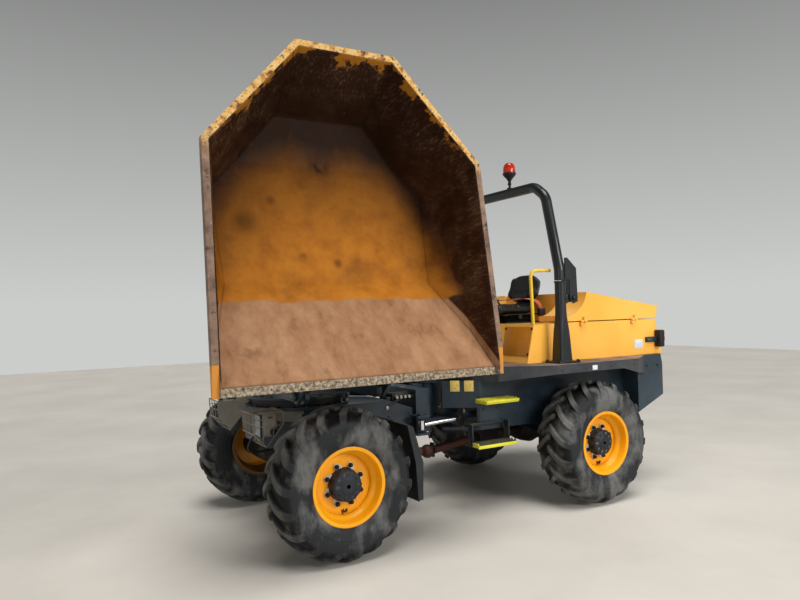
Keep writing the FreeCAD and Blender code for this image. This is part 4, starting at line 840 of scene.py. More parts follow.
def tyre_surfaces(centre, settings):
    """Carcass turned from its outline, and bars: a trapezium across, and along it the sweep over the crown."""
    half = TYRE_HALF
    # columns: distance from the tyre's middle, radius
    wall = softened([(half * 0.795, 0.256), (half * 0.8, 0.268), (half * 0.85, 0.282), (half * 0.92, 0.3),
        (half * 0.965, 0.335), (half * 0.99, 0.35), (half * 0.985, 0.356), (half * 0.985, 0.362),
        (half * 0.998, 0.368), (half * 0.998, 0.395), (half * 0.985, 0.42), (half * 0.955, 0.442),
        (half * 0.9, 0.458), (half * 0.8, 0.474), (half * 0.62, 0.488), (half * 0.3, 0.497), (0.0, 0.5)], 2)
    outline = np.concatenate([wall * [-1, 1], wall[::-1][1:]])
    outline = np.concatenate([outline, [[half * 0.795, 0.2552], [-half * 0.795, 0.2552]]])
    carcass = turned(outline, centre, Y, 144)
    # columns: share of the half width, sweep, groove's radius, bar's radius, share of the bar's width
    stations = softened([(-0.05, 0.0, 0.49, 0.491, 0.8), (-0.03, 0.0, 0.49, 0.524, 0.86),
        (0.02, 0.03, 0.49, 0.53, 0.9), (0.36, 0.44, 0.489, 0.5285, 0.95), (0.6, 0.7, 0.48, 0.518, 1.0),
        (0.79, 0.86, 0.465, 0.499, 1.05), (0.91, 0.94, 0.448, 0.471, 1.08),
        (0.965, 0.985, 0.43, 0.445, 1.06), (0.985, 1.0, 0.405, 0.409, 0.96)], 2)
    y, sweep, foot, top, wide = stations.T
    # columns: share of half the foot's width, share of the height
    across_bar = softened([(-1.0, 0.0), (-0.82, 0.75), (-0.74, 1.0), (-0.3, 1.0), (0.3, 1.0), (0.74, 1.0),
        (0.82, 0.75), (1.0, 0.0)], 1)
    share, height = across_bar.T
    radius = foot[:, None] + (top - foot)[:, None] * height
    half_angle = settings.bar_width / 2 / TYRE_R
    step = 2 * np.pi / settings.pairs
    surfaces = [carcass]
    reach = np.hypot(*(carcass[0] - centre)[:, [0, 2]].T)
    # tread value 0 on the crown between the bars for painted shade in the grooves, 0.5 on the walls
    tread = [np.interp(reach, [0.435, 0.455], [0.5, 0.0])]
    for hand in (1, -1):
        middle = np.arange(settings.pairs) * step + (0 if hand > 0 else step / 2)
        angle = middle[:, None, None] - sweep[:, None] * settings.sweep + wide[:, None] * share * half_angle
        r = np.broadcast_to(radius, angle.shape)
        out = np.broadcast_to((hand * y * half)[:, None], angle.shape)
        bars = centre + np.stack([r * np.cos(angle), out, r * np.sin(angle)], -1)
        surfaces.append(grid(bars, wrap_v=True))
        # tread value from 1 on a bar's top, rubbed rubber, down to 0.12 at its foot, painted shade; towards the
        # shoulder all goes to 0.5
        worn = np.interp(y, [0.75, 0.95], [1.0, 0.52])[:, None] * height + 0.12 * (1 - height)
        scuff_and_painted_shade = worn + (0.5 - worn) * np.interp(y, [0.88, 0.97], [0.0, 1.0])[:, None]
        tread.append(np.broadcast_to(scuff_and_painted_shade, angle.shape).reshape(-1))
    return surfaces, np.concatenate(tread)


class DUMPER_OT_rims(bpy.types.Operator):
    """Rims with their wells, planetary hubs, studs, nylon nut retainers and valves"""
    bl_idname = "dumper.rims"
    bl_label = "Rims and hubs"

    def execute(self, context):
        for name, side in WHEELS.items():
            centre = rim_middle(name)
            axis = Y * side
            # columns: outwards from the wheel's middle, radius
            barrel = softened([(-0.17, 0.241), (-0.17, 0.2735), (-0.162, 0.2735), (-0.161, 0.254),
                (-0.092, 0.249), (-0.062, 0.217), (0.07, 0.217), (0.106, 0.249), (0.158, 0.254),
                (0.161, 0.268), (0.164, 0.2735), (0.17, 0.2735), (0.1695, 0.262), (0.166, 0.244),
                (0.112, 0.238), (0.1, 0.228), (0.078, 0.206), (0.062, 0.206), (-0.064, 0.206),
                (-0.094, 0.238), (-0.168, 0.241)], 1, closed=True)
            barrel = np.concatenate([barrel, barrel[:1]])
            disc = [(0.046, 0.09), (0.046, 0.211), (0.058, 0.2115), (0.0605, 0.206), (0.062, 0.196),
                (0.064, 0.178), (0.062, 0.165), (0.062, 0.09)]
            hub = softened([(0.055, 0.0), (0.055, 0.117), (0.066, 0.1175), (0.072, 0.116), (0.076, 0.109),
                (0.128, 0.107), (0.136, 0.103), (0.14, 0.094), (0.142, 0.06), (0.148, 0.052),
                (0.1495, 0.03), (0.1495, 0.0)], 1)
            points, faces = turned(hub, centre, axis, 120)
            # ribs: radius grows by 5 mm where (cos 6 a)^8 peaks, between 78 and 122 mm out
            out = (points - centre) @ axis
            reach = points - centre - out[:, None] * axis
            angle = np.arctan2(reach[:, 2], reach[:, 0])
            rib = (np.cos(6 * angle) ** 8 * np.clip((out - 0.076) / 0.006, 0, 1)
                * np.clip((0.138 - out) / 0.006, 0, 1))
            points = points + reach * (0.05 * rib)[:, None]
            shapes = [(turned(barrel, centre, axis, 96), "rim"), (turned(disc, centre, axis, 96), "rim"),
                ((points, faces), "hub")]
            seats = circle(centre + axis * RIM_FACE, axis, 0.1375, 8, math.pi / 8)
            nuts = turned([(0, 0), (0, 0.0215), (0.003, 0.0215), (0.004, 0.0175), (0.021, 0.0175),
                (0.024, 0.0145), (0.024, 0.01), (0.034, 0.01), (0.034, 0)], seats, axis, 6)
            shapes.append((nuts, "bolt"))
            shapes.append((retainers(centre, axis, seats[:6] if "front" in name else seats), "retainer"))
            caps = circle(centre + axis * 0.1405, axis, 0.080, 10)
            shapes.append((bolts(caps, axis, 0.0075, 0.008), "hub"))
            # webs across the hub's face, from its cap to its edge
            for k in range(5):
                a = math.pi * (0.2 + 0.4 * k)
                _, side_way, up_way = across(axis)
                out_way = math.cos(a) * side_way + math.sin(a) * up_way
                web = soft_boxes(centre + axis * 0.141 + out_way * 0.07, (0.052, 0.01, 0.008), 0.0025,
                    axes=np.array([out_way, np.cross(axis, out_way), axis]), m=2)
                shapes.append((web, "hub"))
            plug = centre + axis * 0.1485
            shapes.append((turned(drum(0, 0.001, 0.017), plug, axis, 6), "hub"))
            shapes.append((valve(centre, axis), "bolt"))
            dressed = piece("rim_dressed_" + name, "wheel_" + name, shapes)
            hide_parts("rim_" + name)
        return {"FINISHED"}


def retainers(centre, axis, seats):
    """Flat ring round each nut with a tail along the hub: radius 21 mm, 24 mm more towards the tail."""
    turn = np.linspace(0, 2 * np.pi, 28, endpoint=False)
    parts = []
    for seat in seats:
        inward = centre + axis * RIM_FACE - seat
        inward /= np.linalg.norm(inward)
        aside = np.cross(axis, inward)
        tail = inward * 0.55 + aside * 0.83
        radius = 0.0215 + 0.024 * np.clip(np.cos(turn), 0, 1) ** 7
        ring = (seat + axis * 0.0035 + radius[:, None] * (np.cos(turn)[:, None] * tail
            + np.sin(turn)[:, None] * np.cross(axis, tail)))
        parts.append(plate(ring, 0.004, axis))
    return joined(*parts)


def valve(centre, axis):
    """Tyre valve with its guard: a bent bar beside a short stem, low on the disc."""
    foot = centre + axis * 0.063 - Z * 0.185
    stem = tube(line([foot, foot + axis * 0.012, foot + axis * 0.03 + Z * 0.016], 8), 0.0045)
    bars = [tube(line([foot + X * a + Z * b, foot + X * c + Z * d + axis * 0.008], 6), 0.0032) for a, b, c,
        d in ((-0.022, -0.014, -0.018, 0.016), (-0.018, 0.014, -0.002, -0.012),
        (0.004, 0.016, 0.012, -0.002), (0.022, 0.014, 0.01, -0.022))]
    return joined(stem, *bars)


class DUMPER_OT_beacon(bpy.types.Operator):
    """Ribbed beacon dome on a black cup and a jointed stalk"""
    bl_idname = "dumper.beacon"
    bl_label = "Beacon"

    def execute(self, context):
        middle = mm(HOOP_X, 250, 0)
        foot = mm(HOOP_X, 250, 2846)
        # columns: up from the hoop's bar, radius
        stalk = softened([(0.0, 0.0), (0.0, 0.026), (0.01, 0.026), (0.014, 0.011), (0.034, 0.01),
            (0.036, 0.017), (0.056, 0.018), (0.06, 0.013), (0.072, 0.013), (0.1, 0.03), (0.132, 0.061),
            (0.146, 0.064), (0.15, 0.064), (0.15, 0.0)], 1)
        elbow = turned(drum(0, 0.022, 0.010), foot + Z * 0.046 + Y * 0.012, Y, 12)
        base = piece("beacon_cup", "hoop", [(turned(stalk, foot, Z, 40), "plastic"), (elbow, "zinc")])
        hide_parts("beacon_base")
        dome = softened([(0.15, 0.0), (0.15, 0.0585), (0.158, 0.0585), (0.195, 0.057), (0.224, 0.051),
            (0.244, 0.034), (0.25, 0.016), (0.25, 0.0)], 2)
        points, faces = turned(dome, foot, Z, 96)
        # radius r becomes r (1 - 0.009 (1 + cos 24 a)): a groove every fifteen degrees
        reach = points - middle
        angle = np.arctan2(reach[:, 1], reach[:, 0])
        points[:, :2] = middle[:2] + reach[:, :2] * (1 - 0.009 * (1 + np.cos(24 * angle)))[:, None]
        lens = piece("beacon_dome", "hoop", [((points, faces), "beacon")])
        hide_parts("beacon_lens")
        return {"FINISHED"}


class DUMPER_OT_lamps(bpy.types.Operator):
    """Head lamps with rounded cases and lenses, and tail lamps with red and amber lenses"""
    bl_idname = "dumper.lamps"
    bl_label = "Lamps"

    def execute(self, context):
        # the last row puts three thin black sheets on each case's side, painted shade for its slits
        shapes = blocks((2824, 460, 915, (0.128, 0.158, 0.166), 0.03, 5, "lamp_case"),
            (2884, 460, 915, (0.024, 0.162, 0.17), 0.011, 3, "plastic"),
            (2893, 460, 915, (0.016, 0.142, 0.15), 0.0075, 3, "glass"),
            (2810, 363, 880, (0.04, 0.053, 0.04), 0.004, 2, "bolt"), ((2800, 2816, 2832), 539.5, 972,
            (0.01, 0.002, 0.018), 0.0009, 1, "dark"))
        for side in (1, -1):
            knob = turned([(0, 0), (0, 0.026), (0.006, 0.028), (0.012, 0.028), (0.016, 0.022),
                (0.016, 0.013), (0.02, 0.012), (0.02, 0)], mm(2800, side * 536, 868), Y * side, 24)
            shapes.append((knob, "plastic"))
        lamps = piece("head_lamps_dressed", "front_chassis", shapes)
        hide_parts("head_lamps")
        y = HOOD_HALF + 37
        lens = (0.012, 0.066, 0.046)
        shapes = blocks((-1073, y, 1382, (0.066, 0.075, 0.165), 0.012, 3, "plastic"),
            (-974, HOOD_HALF + 15, 1375, (0.134, 0.029, 0.05), 0.004, 2, "chassis"),
            (-1106, y, 1328, lens, 0.005, 2, "label"), (-1106, y, 1382, lens, 0.005, 2, "red"),
            (-1106, y, 1436, lens, 0.005, 2, "amber"))
        shapes += screws(((-925, -955), HOOD_HALF + 29, 1375, Y, 0.006, 0.005, "zinc"))
        lamps = piece("tail_lamps_dressed", "root", shapes)
        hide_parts("tail_lamps")
        return {"FINISHED"}


class DUMPER_OT_seat(bpy.types.Operator):
    """Padded seat: cushion with its bolsters, back with its channels, bellows, slides and a lap belt"""
    bl_idname = "dumper.seat"
    bl_label = "Seat"

    def execute(self, context):
        base = piece("seat_suspension", "root", seat_base_shapes())
        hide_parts("seat_base")
        # columns: name, node, middle, half sizes, the pad's own axes as rows, crown's shape
        sin, cos = math.sin(LEAN), math.cos(LEAN)
        pads = (("seat_cushion_pad", "seat_cushion", mm(230, 0, 1710), (0.226, 0.226, 0.043), np.eye(3),
                 (0.34, 0.10, 0.62, 0.20)),
                ("seat_back_pad", "seat_back", mm(-47, 0, 1908), (0.152, 0.224, 0.040),
                 np.array([[-sin, 0, cos], [0, -1, 0], [cos, 0, sin]]), (0.30, 0.22, -0.45, 0.55)))
        for name, solid, middle, half, axes, crown in pads:
            pad = swollen(name, padded_form(middle, half, axes, *crown), "vinyl", 0.012)
            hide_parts(solid)
        belt = piece("lap_belt", "root", belt_shapes())
        return {"FINISHED"}


def padded_form(middle, half, axes, bolster, roll, roll_at, corner, count=56):
    """Closed pad over u, v from -1 to 1, corners rounded: front at 0.45, side bolsters, a roll and channels."""
    side = np.sin(np.linspace(-np.pi / 2, np.pi / 2, count))
    u, v = np.meshgrid(side, side, indexing="ij")
    out_u, out_v = u * np.sqrt(1 - corner * np.abs(v) ** 5), v * np.sqrt(1 - corner * np.abs(u) ** 5)
    front = (0.45 + bolster * np.exp(-((np.abs(out_v) - 0.8) / 0.16) ** 2) + roll
        * np.exp(-((out_u - roll_at) / 0.3) ** 2) - 0.22 * np.exp(-((np.abs(out_v) - 0.58) / 0.04) ** 2)
        - 0.16 * np.exp(-((out_u + 0.12) / 0.035) ** 2) * (np.abs(out_v) < 0.58))
    edge = np.sqrt(1 - np.clip(np.maximum(np.abs(u), np.abs(v)), 0, 1) ** 9)
    level = (front - 0.92) / 2
    thick = (front + 0.92) / 2 * edge
    sheets = [grid(middle + np.stack([out_u, out_v, level + sign * thick], -1) * half @ axes)
        for sign in (1, -1)]
    return joined(*sheets)


def swollen(name, form, cover, cap):
    """Blows a pad up with Cloth's pressure from a fine mesh, and moves no point further than the cap."""
    made = piece(name, "root", [(form, cover)])
    scene = bpy.context.scene
    even = made.modifiers.new("Even", "REMESH")
    even.mode = "VOXEL"
    even.voxel_size = PAD_VOXEL
    fine = bpy.data.meshes.new_from_object(made.evaluated_get(bpy.context.evaluated_depsgraph_get()))
    made.modifiers.clear()
    made.data = fine
    fine.materials.clear()
    fine.materials.append(coat(cover))
    count = len(fine.vertices) * 3
    start, end = np.empty(count), np.empty(count)
    fine.vertices.foreach_get("co", start)
    cloth = made.modifiers.new("Cloth", "CLOTH")
    cloth.settings.use_pressure = True
    cloth.settings.uniform_pressure_force = PAD_PRESSURE
    cloth.settings.effector_weights.gravity = 0.0
    cloth.point_cache.frame_start, cloth.point_cache.frame_end = 1, SWELL_FRAMES
    for moment in range(1, SWELL_FRAMES + 1):
        scene.frame_set(moment)
    blown = made.evaluated_get(bpy.context.evaluated_depsgraph_get()).data
    blown.vertices.foreach_get("co", end)
    made.modifiers.clear()
    scene.frame_set(1)
    move = (end - start).reshape(-1, 3)
    length = np.linalg.norm(move, axis=1, keepdims=True)
    move *= np.minimum(1, cap / np.maximum(length, 1e-9))
    fine.vertices.foreach_set("co", (start.reshape(-1, 3) + move).reshape(-1))
    fine.update()
    fine.shade_smooth()
    smooth = made.modifiers.new("Smooth", "SUBSURF")
    smooth.levels = smooth.render_levels = 1
    return made


def seat_base_shapes():
    """Pan, slides, lever, spine, and bellows whose girth swells and narrows five times on the way up."""
    x = 130
    rise = np.linspace(0, 1, 41)
    turn = np.linspace(0, 2 * np.pi, 72, endpoint=False)
    # a square with round corners: radius = (|cos|^8 + |sin|^8)^(-1/8)
    square = (np.abs(np.cos(turn)) ** 8 + np.abs(np.sin(turn)) ** 8) ** (-1 / 8)
    ring = (0.168 + 0.012 * np.cos(2 * np.pi * 5 * rise))[:, None] * square
    wall = np.stack([ring * np.cos(turn), ring * np.sin(turn) * 1.05, np.broadcast_to(rise[:, None] * 0.064,
        ring.shape)], -1)
    wall = np.concatenate([wall[:1] * [0, 0, 1], wall, wall[-1:] * [0, 0, 1]])
    bellows = grid(mm(x + 20, 0, BOX_TOP + 14) + wall, wrap_v=True)
    tilt = np.array([[math.cos(LEAN), 0, math.sin(LEAN)], [0, 1, 0], [-math.sin(LEAN), 0, math.cos(LEAN)]])
    spine = soft_boxes(mm(x - 197, 0, BOX_TOP + 238), (0.024, 0.24, 0.29), 0.010, axes=tilt)
    slides = soft_boxes(spots(x + 20, (150, -150), BOX_TOP + 78), (0.36, 0.028, 0.010), 0.003, m=2)
    lever = tube(line(route(((355, 120, 1650), (388, 118, 1648), (396, 80, 1646), (392, 30, 1648)), 0), 20),
        0.006)
    knob = turned([(0, 0), (0, 0.02), (0.012, 0.022), (0.016, 0.018), (0.016, 0)],
        mm(x + 60, 209, BOX_TOP + 62), Y, 20)
    return blocks((x + 25, 0, BOX_TOP + 85, (0.425, 0.445, 0.0135), 0.006, 3, "bolt"),
        (x + 20, 0, BOX_TOP + 7, (0.42, 0.43, 0.0135), 0.005, 3, "bolt"),
        sides=(1,)) + [(bellows, "bellows"), (spine, "plastic"), (slides, "zinc"), (lever, "zinc"),
        (knob, "plastic")]


def strap(path, width_way, width, thick):
    """Flat webbing: a narrow oval carried along a path, its long side along one direction."""
    path = np.asarray(path, float)
    along = np.gradient(path, axis=0)
    along /= np.linalg.norm(along, axis=1, keepdims=True)
    wide = width_way - (along @ width_way)[:, None] * along
    wide /= np.linalg.norm(wide, axis=1, keepdims=True)
    up = np.cross(wide, along)
    turn = np.linspace(0, 2 * np.pi, 12, endpoint=False)[None, :, None]
    ring = (np.sign(np.cos(turn)) * np.abs(np.cos(turn)) ** 0.4 * width / 2 * wide[:, None, :]
        + np.sin(turn) * thick / 2 * up[:, None, :])
    body = path[:, None, :] + ring
    ends = [np.repeat(body[k:k + 1].mean(1, keepdims=True), body.shape[1], 1) for k in (0, -1)]
    return grid(np.concatenate([ends[0], body, ends[1]]), wrap_v=True)


def belt_shapes():
    """Lap belt laid over the cushion from its left anchor, with its buckle at the right."""
    path = route(((-38, 262, 1672), (-30, 266, 1730), (0, 250, 1778), (60, 212, 1800), (150, 190, 1802),
        (250, 176, 1796), (340, 150, 1792), (400, 96, 1786), (415, 20, 1778), (380, -60, 1774),
        (280, -130, 1776), (180, -190, 1784), (130, -214, 1789)), 3)
    buckle = soft_boxes(mm(120, -222, 1795), (0.07, 0.05, 0.018), 0.006, axes=tilt_rows(35), m=3)
    button = soft_boxes(mm(116, -222, 1804), (0.03, 0.022, 0.006), 0.002, axes=tilt_rows(35), m=2)
    stalk = tube(line(route(((-20, -262, 1680), (30, -268, 1740), (100, -245, 1788)), 0), 16), 0.009)
    reel = soft_boxes(mm(-38, 264, 1668), (0.075, 0.050, 0.080), 0.014, m=3)
    return [(strap(path, X, 0.047, 0.0022), "webbing"), (buckle, "plastic"), (button, "red"),
        (stalk, "plastic"), (reel, "plastic")]


def tilt_rows(degrees):
    """Axes as rows, turned about Z."""
    a = math.radians(degrees)
    return np.array([[math.cos(a), math.sin(a), 0], [-math.sin(a), math.cos(a), 0], [0, 0, 1.0]])


class DUMPER_OT_controls(bpy.types.Operator):
    """Steering wheel with its grips, the console's gauges and switches, and the levers' boots"""
    bl_idname = "dumper.controls"
    bl_label = "Controls"

    def execute(self, context):
        centre = mm(735, 0, 1830)
        axis, aside, down = across((-0.42, 0.0, 0.9075))
        turn = np.linspace(0, 2 * np.pi, 96, endpoint=False)[:, None]
        around = np.linspace(0, 2 * np.pi, 16, endpoint=False)
        # grip's radius 14.5 mm, narrowed by finger grooves: 1 - 0.03 (1 + cos 30 a)
        grip = 0.0145 * (1 - 0.03 * (1 + np.cos(30 * turn)))
        spoke = np.cos(turn)[:, :, None] * aside + np.sin(turn)[:, :, None] * down
        ring = (centre + (0.185 + grip * np.cos(around))[:, :, None] * spoke
            + (grip * np.sin(around))[:, :, None] * axis)
        hub = turned(softened([(-0.11, 0), (-0.11, 0.024), (-0.026, 0.024), (-0.022, 0.044), (0.004, 0.044),
            (0.01, 0.036), (0.012, 0.0)], 1), centre, axis, 40)
        shapes = [(grid(ring, True, True), "plastic"), (hub, "plastic")]
        for a in (math.pi / 2, math.pi * 7 / 6, math.pi * 11 / 6):
            out = math.cos(a) * Y + math.sin(a) * np.cross(axis, Y)
            path = [centre - axis * 0.006 + out * 0.03, centre - axis * 0.012 + out * 0.11,
                centre + out * 0.178]
            shapes.append((strap(softened(path, 2), np.cross(axis, out), 0.028, 0.007), "bolt"))
        knob = turned(softened([(0, 0), (0, 0.01), (0.018, 0.01), (0.024, 0.021), (0.046, 0.021),
            (0.052, 0)], 1), centre + Y * 0.185, axis, 24)
        wheel = piece("steering_wheel_dressed", "root", shapes + [(knob, "plastic")])
        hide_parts("steering_wheel")

        face = np.array([-0.9924, 0.0, 0.1240])
        dials = spots(794.5, (-110, -40, 40, 110), 1735)
        bezel = turned([(0, 0), (0, 0.027), (0.004, 0.027), (0.006, 0.024), (0.004, 0.022), (0.003, 0)],
            dials, face, 32)
        glass = turned(drum(0.0032, 0.0036, 0.0215), dials, face, 32)
        switches = soft_boxes(spots(842, (-120, -80, -40, 40, 80, 120), 1789), (0.024, 0.018, 0.016), 0.003,
            m=2)
        key = joined(turned(drum(0, 0.008, 0.012), mm(797, 0, 1712), face, 20),
            soft_boxes(mm(786, 0, 1713), (0.016, 0.004, 0.022), 0.0015, m=1))
        cover = bolts(spots((812, 884), 171, 1664), Y, 0.006, 0.004)
        hatch = soft_boxes(mm(878, 181, 1460), (0.100, 0.006, 0.230), 0.0028, m=2)
        dash = piece("console_gauges", "root", [(bezel, "bolt"), (glass, "glass"), (switches, "plastic"),
            (key, "zinc"), (cover, "zinc"), (hatch, "plastic")])
        shapes = []
        for y in (-330, -400):
            rise = np.linspace(0, 1, 30)
            boot = np.stack([rise * 0.07, 0.034 * (1 - 0.68 * rise) * (1 + 0.1
                * np.cos(2 * np.pi * 5 * rise))], 1)
            boot = np.concatenate([[[0, 0]], boot, [[0.07, 0]]])
            shapes.append((turned(boot, mm(331, y, 1568.5), (0.2, 0, 0.98), 32), "bellows"))
        boots = piece("lever_boots", "root", shapes)
        return {"FINISHED"}


class DUMPER_OT_hydraulics(bpy.types.Operator):
    """Ram glands and ports, hoses with spring guards, the valve blocks on the neck, and the lamps' cable"""
    bl_idname = "dumper.hydraulics"
    bl_label = "Hydraulics"

    def execute(self, context):
        foot, eye = mm(520, 450, 812), mm(1440, 375, 750)
        run = (eye - foot) / np.linalg.norm(eye - foot)
        foot2, eye2 = mm(SLEW_X, -550, 1155), on_skip(262, 0, 607.8)
        run2 = (eye2 - foot2) / np.linalg.norm(eye2 - foot2)
        # columns: body, name, foot, run, barrel's length, barrel's radius, rod's radius
        rams = (("steer_ram_barrel", foot, run, 0.582, 0.042, 0.020),
                ("tip_ram_barrel", foot2, run2, 0.950, 0.050, 0.028))
        for body, start, way, length, wide, thin in rams:
            end = start + way * length
            nut = turned([(-0.052, wide), (-0.052, wide + 0.0075), (-0.046, wide + 0.009),
                (-0.004, wide + 0.009), (0.001, wide + 0.005), (0.001, thin + 0.014), (0.007, thin + 0.01),
                (0.007, thin + 0.0015)], end, way, 48)
            slots = soft_boxes(circle(end - way * 0.025, way, wide + 0.008, 6), (0.01, 0.01, 0.018), 0.002,
                m=1)
            collar = turned([(0.06, wide), (0.06, wide + 0.004), (0.066, wide + 0.006),
                (0.072, wide + 0.004), (0.072, wide)], start, way, 40)
            up = across(way)[2]
            ports = [start + way * 0.10 + up * wide, start + way * (length - 0.085) + up * wide]
            port = turned([(-0.004, 0), (-0.004, 0.016), (0.014, 0.016), (0.014, 0.0115), (0.03, 0.0115),
                (0.03, 0)], ports, up, 6)
            fittings = piece(body + "_fittings", body, [(nut, "bolt"), (slots, "bolt"), (collar, "chassis"),
                (port, "zinc")])
        shapes = []
        # hoses over the neck to the slew motor and the ram: each a smooth line through a few points
        routes = (
            ((1330, 205, 905), (1400, 215, 1000), (1520, 205, 1005), (1640, 150, 1000), (1760, 20, 1012),
             (1890, -95, 1020)),
            ((1330, 165, 905), (1400, 172, 1010), (1530, 160, 1012), (1650, 95, 1005), (1770, -40, 1008),
             (1880, -125, 1006)),
            ((1330, 245, 900), (1400, 262, 985), (1510, 268, 985), (1620, 262, 960), (1700, 256, 905)),
            ((1330, 120, 905), (1400, 130, 1000), (1530, 115, 1005), (1690, 40, 1000), (1800, -90, 996),
             (1870, -150, 1000)))
        for k, places in enumerate(routes):
            path = route(places)
            shapes.append((tube(path, 0.0115, 12), "hose"))
            guard = tube(line(path[: len(path) * 2 // 3], 260), 0.0135, 10, 0.12, 44)
            shapes.append((guard, "hose" if k % 2 else "bolt"))
            shapes.append((soft_boxes([path[0], path[-1]], (0.032, 0.028, 0.028), 0.004, m=2), "zinc"))
        shapes += blocks((1560, 205, 985, (0.17, 0.085, 0.07), 0.006, 2, "bolt"),
            (1340, 190, 892, (0.08, 0.19, 0.05), 0.006, 2, "bolt"), (1655, 170, 968, (0.075, 0.13, 0.045),
            0.006, 2, "bolt"), sides=(1,))
        spool = turned(drum(0, 0.05, 0.016, 0.004), spots((1500, 1540, 1580, 1620), 245, 990), Y, 16)
        shapes.append((spool, "zinc"))
        lines = piece("neck_hoses", "front_chassis", shapes)
        loop = route(((2700, 300, 700), (2860, 330, 690), (2960, 420, 740), (2940, 430, 810),
            (2880, 430, 850)))
        cable = piece("lamp_cable", "front_chassis", [(tube(loop, 0.008, 12), "hose")])
        shapes = []
        # hoses from under the deck across the pivot's left side to the bracket of the steering ram
        for y, z in ((300, 905), (265, 880)):
            path = route(((900, y, z), (985, y, z + 8), (1080, y - 40, z - 28), (1150, y - 70, z - 30)))
            shapes.append((tube(path, 0.011, 12), "hose"))
        under = piece("pivot_hoses", "root", shapes)
        return {"FINISHED"}


class DUMPER_OT_legs(bpy.types.Operator):
    """Fixed legs of the hoop: square at the foot plate, round above, with the fold's ear and pin"""
    bl_idname = "dumper.legs"
    bl_label = "Hoop legs"

    def execute(self, context):
        turn = np.linspace(0, 2 * np.pi, 64, endpoint=False)
        # columns: height in mm, half length, half width, power of the rounded square
        levels = softened([(1248, 0.068, 0.062, 9.0), (1300, 0.066, 0.06, 9.0), (1480, 0.056, 0.053, 7.0),
            (1570, 0.049, 0.048, 4.0), (1640, 0.047, 0.047, 2.2), (1800, 0.047, 0.047, 2.0),
            (1940, 0.047, 0.047, 2.0)], 2)
        height, long, wide, power = levels.T[:, :, None]
        square = (np.abs(np.cos(turn)) ** power + np.abs(np.sin(turn)) ** power) ** (-1 / power)
        shapes = []
        for side in (1, -1):
            ring = np.stack([long * square * np.cos(turn), wide * square * np.sin(turn),
                np.broadcast_to((height - 1248) / 1000, square.shape)], -1)
            ring = np.concatenate([ring[:1] * [0, 0, 1], ring, ring[-1:] * [0, 0, 1]])
            shapes.append((grid(mm(HOOP_X - 4, side * LEG_Y, 1248) + ring, wrap_v=True), "rops"))
            fold = mm(FOLD_X, side * LEG_Y, FOLD_Z)
            collar = turned([(-0.012, 0.046), (-0.012, 0.054), (-0.002, 0.055), (-0.002, 0.046)],
                mm(HOOP_X - 4, side * LEG_Y, 1940), Z, 48)
            shapes += [(turned(drum(-0.0335, 0.0335, 0.0355), fold, Y, 40), "rops"),
                (turned(drum(-0.056, 0.056, 0.013), fold, Y, 24), "bolt"), (collar, "rops")]
        shapes += blocks((HOOP_X - 10, LEG_Y, 1240, (0.238, 0.188, 0.0155), 0.004, 2, "rops"),
            (228, LEG_Y, FOLD_Z, (0.09, 0.066, 0.071), 0.006, 2, "rops"))
        legs = piece("hoop_legs_dressed", "root", shapes)
        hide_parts("rops_legs")
        return {"FINISHED"}


class DUMPER_OT_fasteners(bpy.types.Operator):
    """Bolt heads, pin caps and bosses on every body that carries them"""
    bl_idname = "dumper.fasteners"
    bl_label = "Bolts and pins"

    def execute(self, context):
        shapes = [(bolts(circle(mm(SLEW_X, 0, 1000), Z, 0.392, 22, 0.1), Z, 0.013, 0.012), "bolt"),
            (turned(drum(0, 0.01, 0.034, 0.004), mm(1440, 375, 832), Z, 32), "chassis")]
        shapes += screws(((1480, 1680), 260.5, (760, 830), Y, 0.011, 0.009, "chassis"), sides=(1,))
        shapes += screws(((2395, 2440, 2485), 337, 930, Y, 0.01, 0.008, "bolt"),
            (1874.5, (750, 860, 970), (360, 560), -X, 0.008, 0.006, "bolt"))
        piece("front_bolts", "front_chassis", shapes)

        shapes = [(bolts(circle(mm(SLEW_X, 0, 1078.3), Z, 0.376, 24, 0.13), Z, 0.012, 0.011), "bolt")]
        for way in (X, -X):
            pin = mm(SLEW_X, PIN_Y, PIN_Z) + way * 0.362
            shapes += [(turned(drum(-0.004, 0.008, 0.038, 0.003), pin, way, 36), "chassis"),
                (bolts(circle(pin + way * 0.011, X, 0.021, 3), way, 0.006, 0.005), "chassis")]
        piece("table_bolts", "table", shapes)

        cover = [c + X * (BOX_FOOT + 6 - (c[2] * 1000 - BOX_LOW) * BOX_SLOPE) / 1000
            for c in spots(0, (400, 750), (1312, 1530))]
        shapes = [(bolts(cover, (0.968, 0, 0.251), 0.009, 0.007), "bolt")]
        for side in (1, -1):
            for out in (1, -1):
                end = mm(FOLD_X, side * LEG_Y + out * 56, FOLD_Z)
                shapes.append((turned(drum(-0.003, 0.006, 0.022, 0.003), end, Y * out, 24), "bolt"))
        shapes += screws(((HOOP_X - 114, HOOP_X + 94), (LEG_Y - 78, LEG_Y + 78), DECK_TOP + 16, Z, 0.013,
            0.012, "bolt"), ((-420, -120, 180, 460), 1050, 1190, Y, 0.009, 0.007, "deck"),
            ((820, 960), 620, (760, 860), Y, 0.011, 0.009, "chassis"), ((-1030, -880), 800, 1130, Y, 0.015,
            0.013, "weight"))
        drop = circle(mm(680, 0, 480), X, 0.055, 6)
        shapes.append((bolts(drop, X, 0.007, 0.006), "cast"))
        shapes.append((bolts(circle(mm(0, 0, 530) + X * 0.136, X, 0.112, 14), X, 0.009, 0.008), "cast"))
        piece("rear_bolts", "root", shapes)

        ring = [(0, 0.029), (0, 0.052), (0.004, 0.052), (0.004, 0.029), (0, 0.029)]
        pin = mm(SLEW_X, PIN_Y, PIN_Z)
        shapes = [(turned(ring, pin + way * w / 1000, way if w > 330 else -way, 36), "chassis")
            for way in (X, -X) for w in (322, 344)]
        piece("skip_bosses", "skip", shapes)
        return {"FINISHED"}


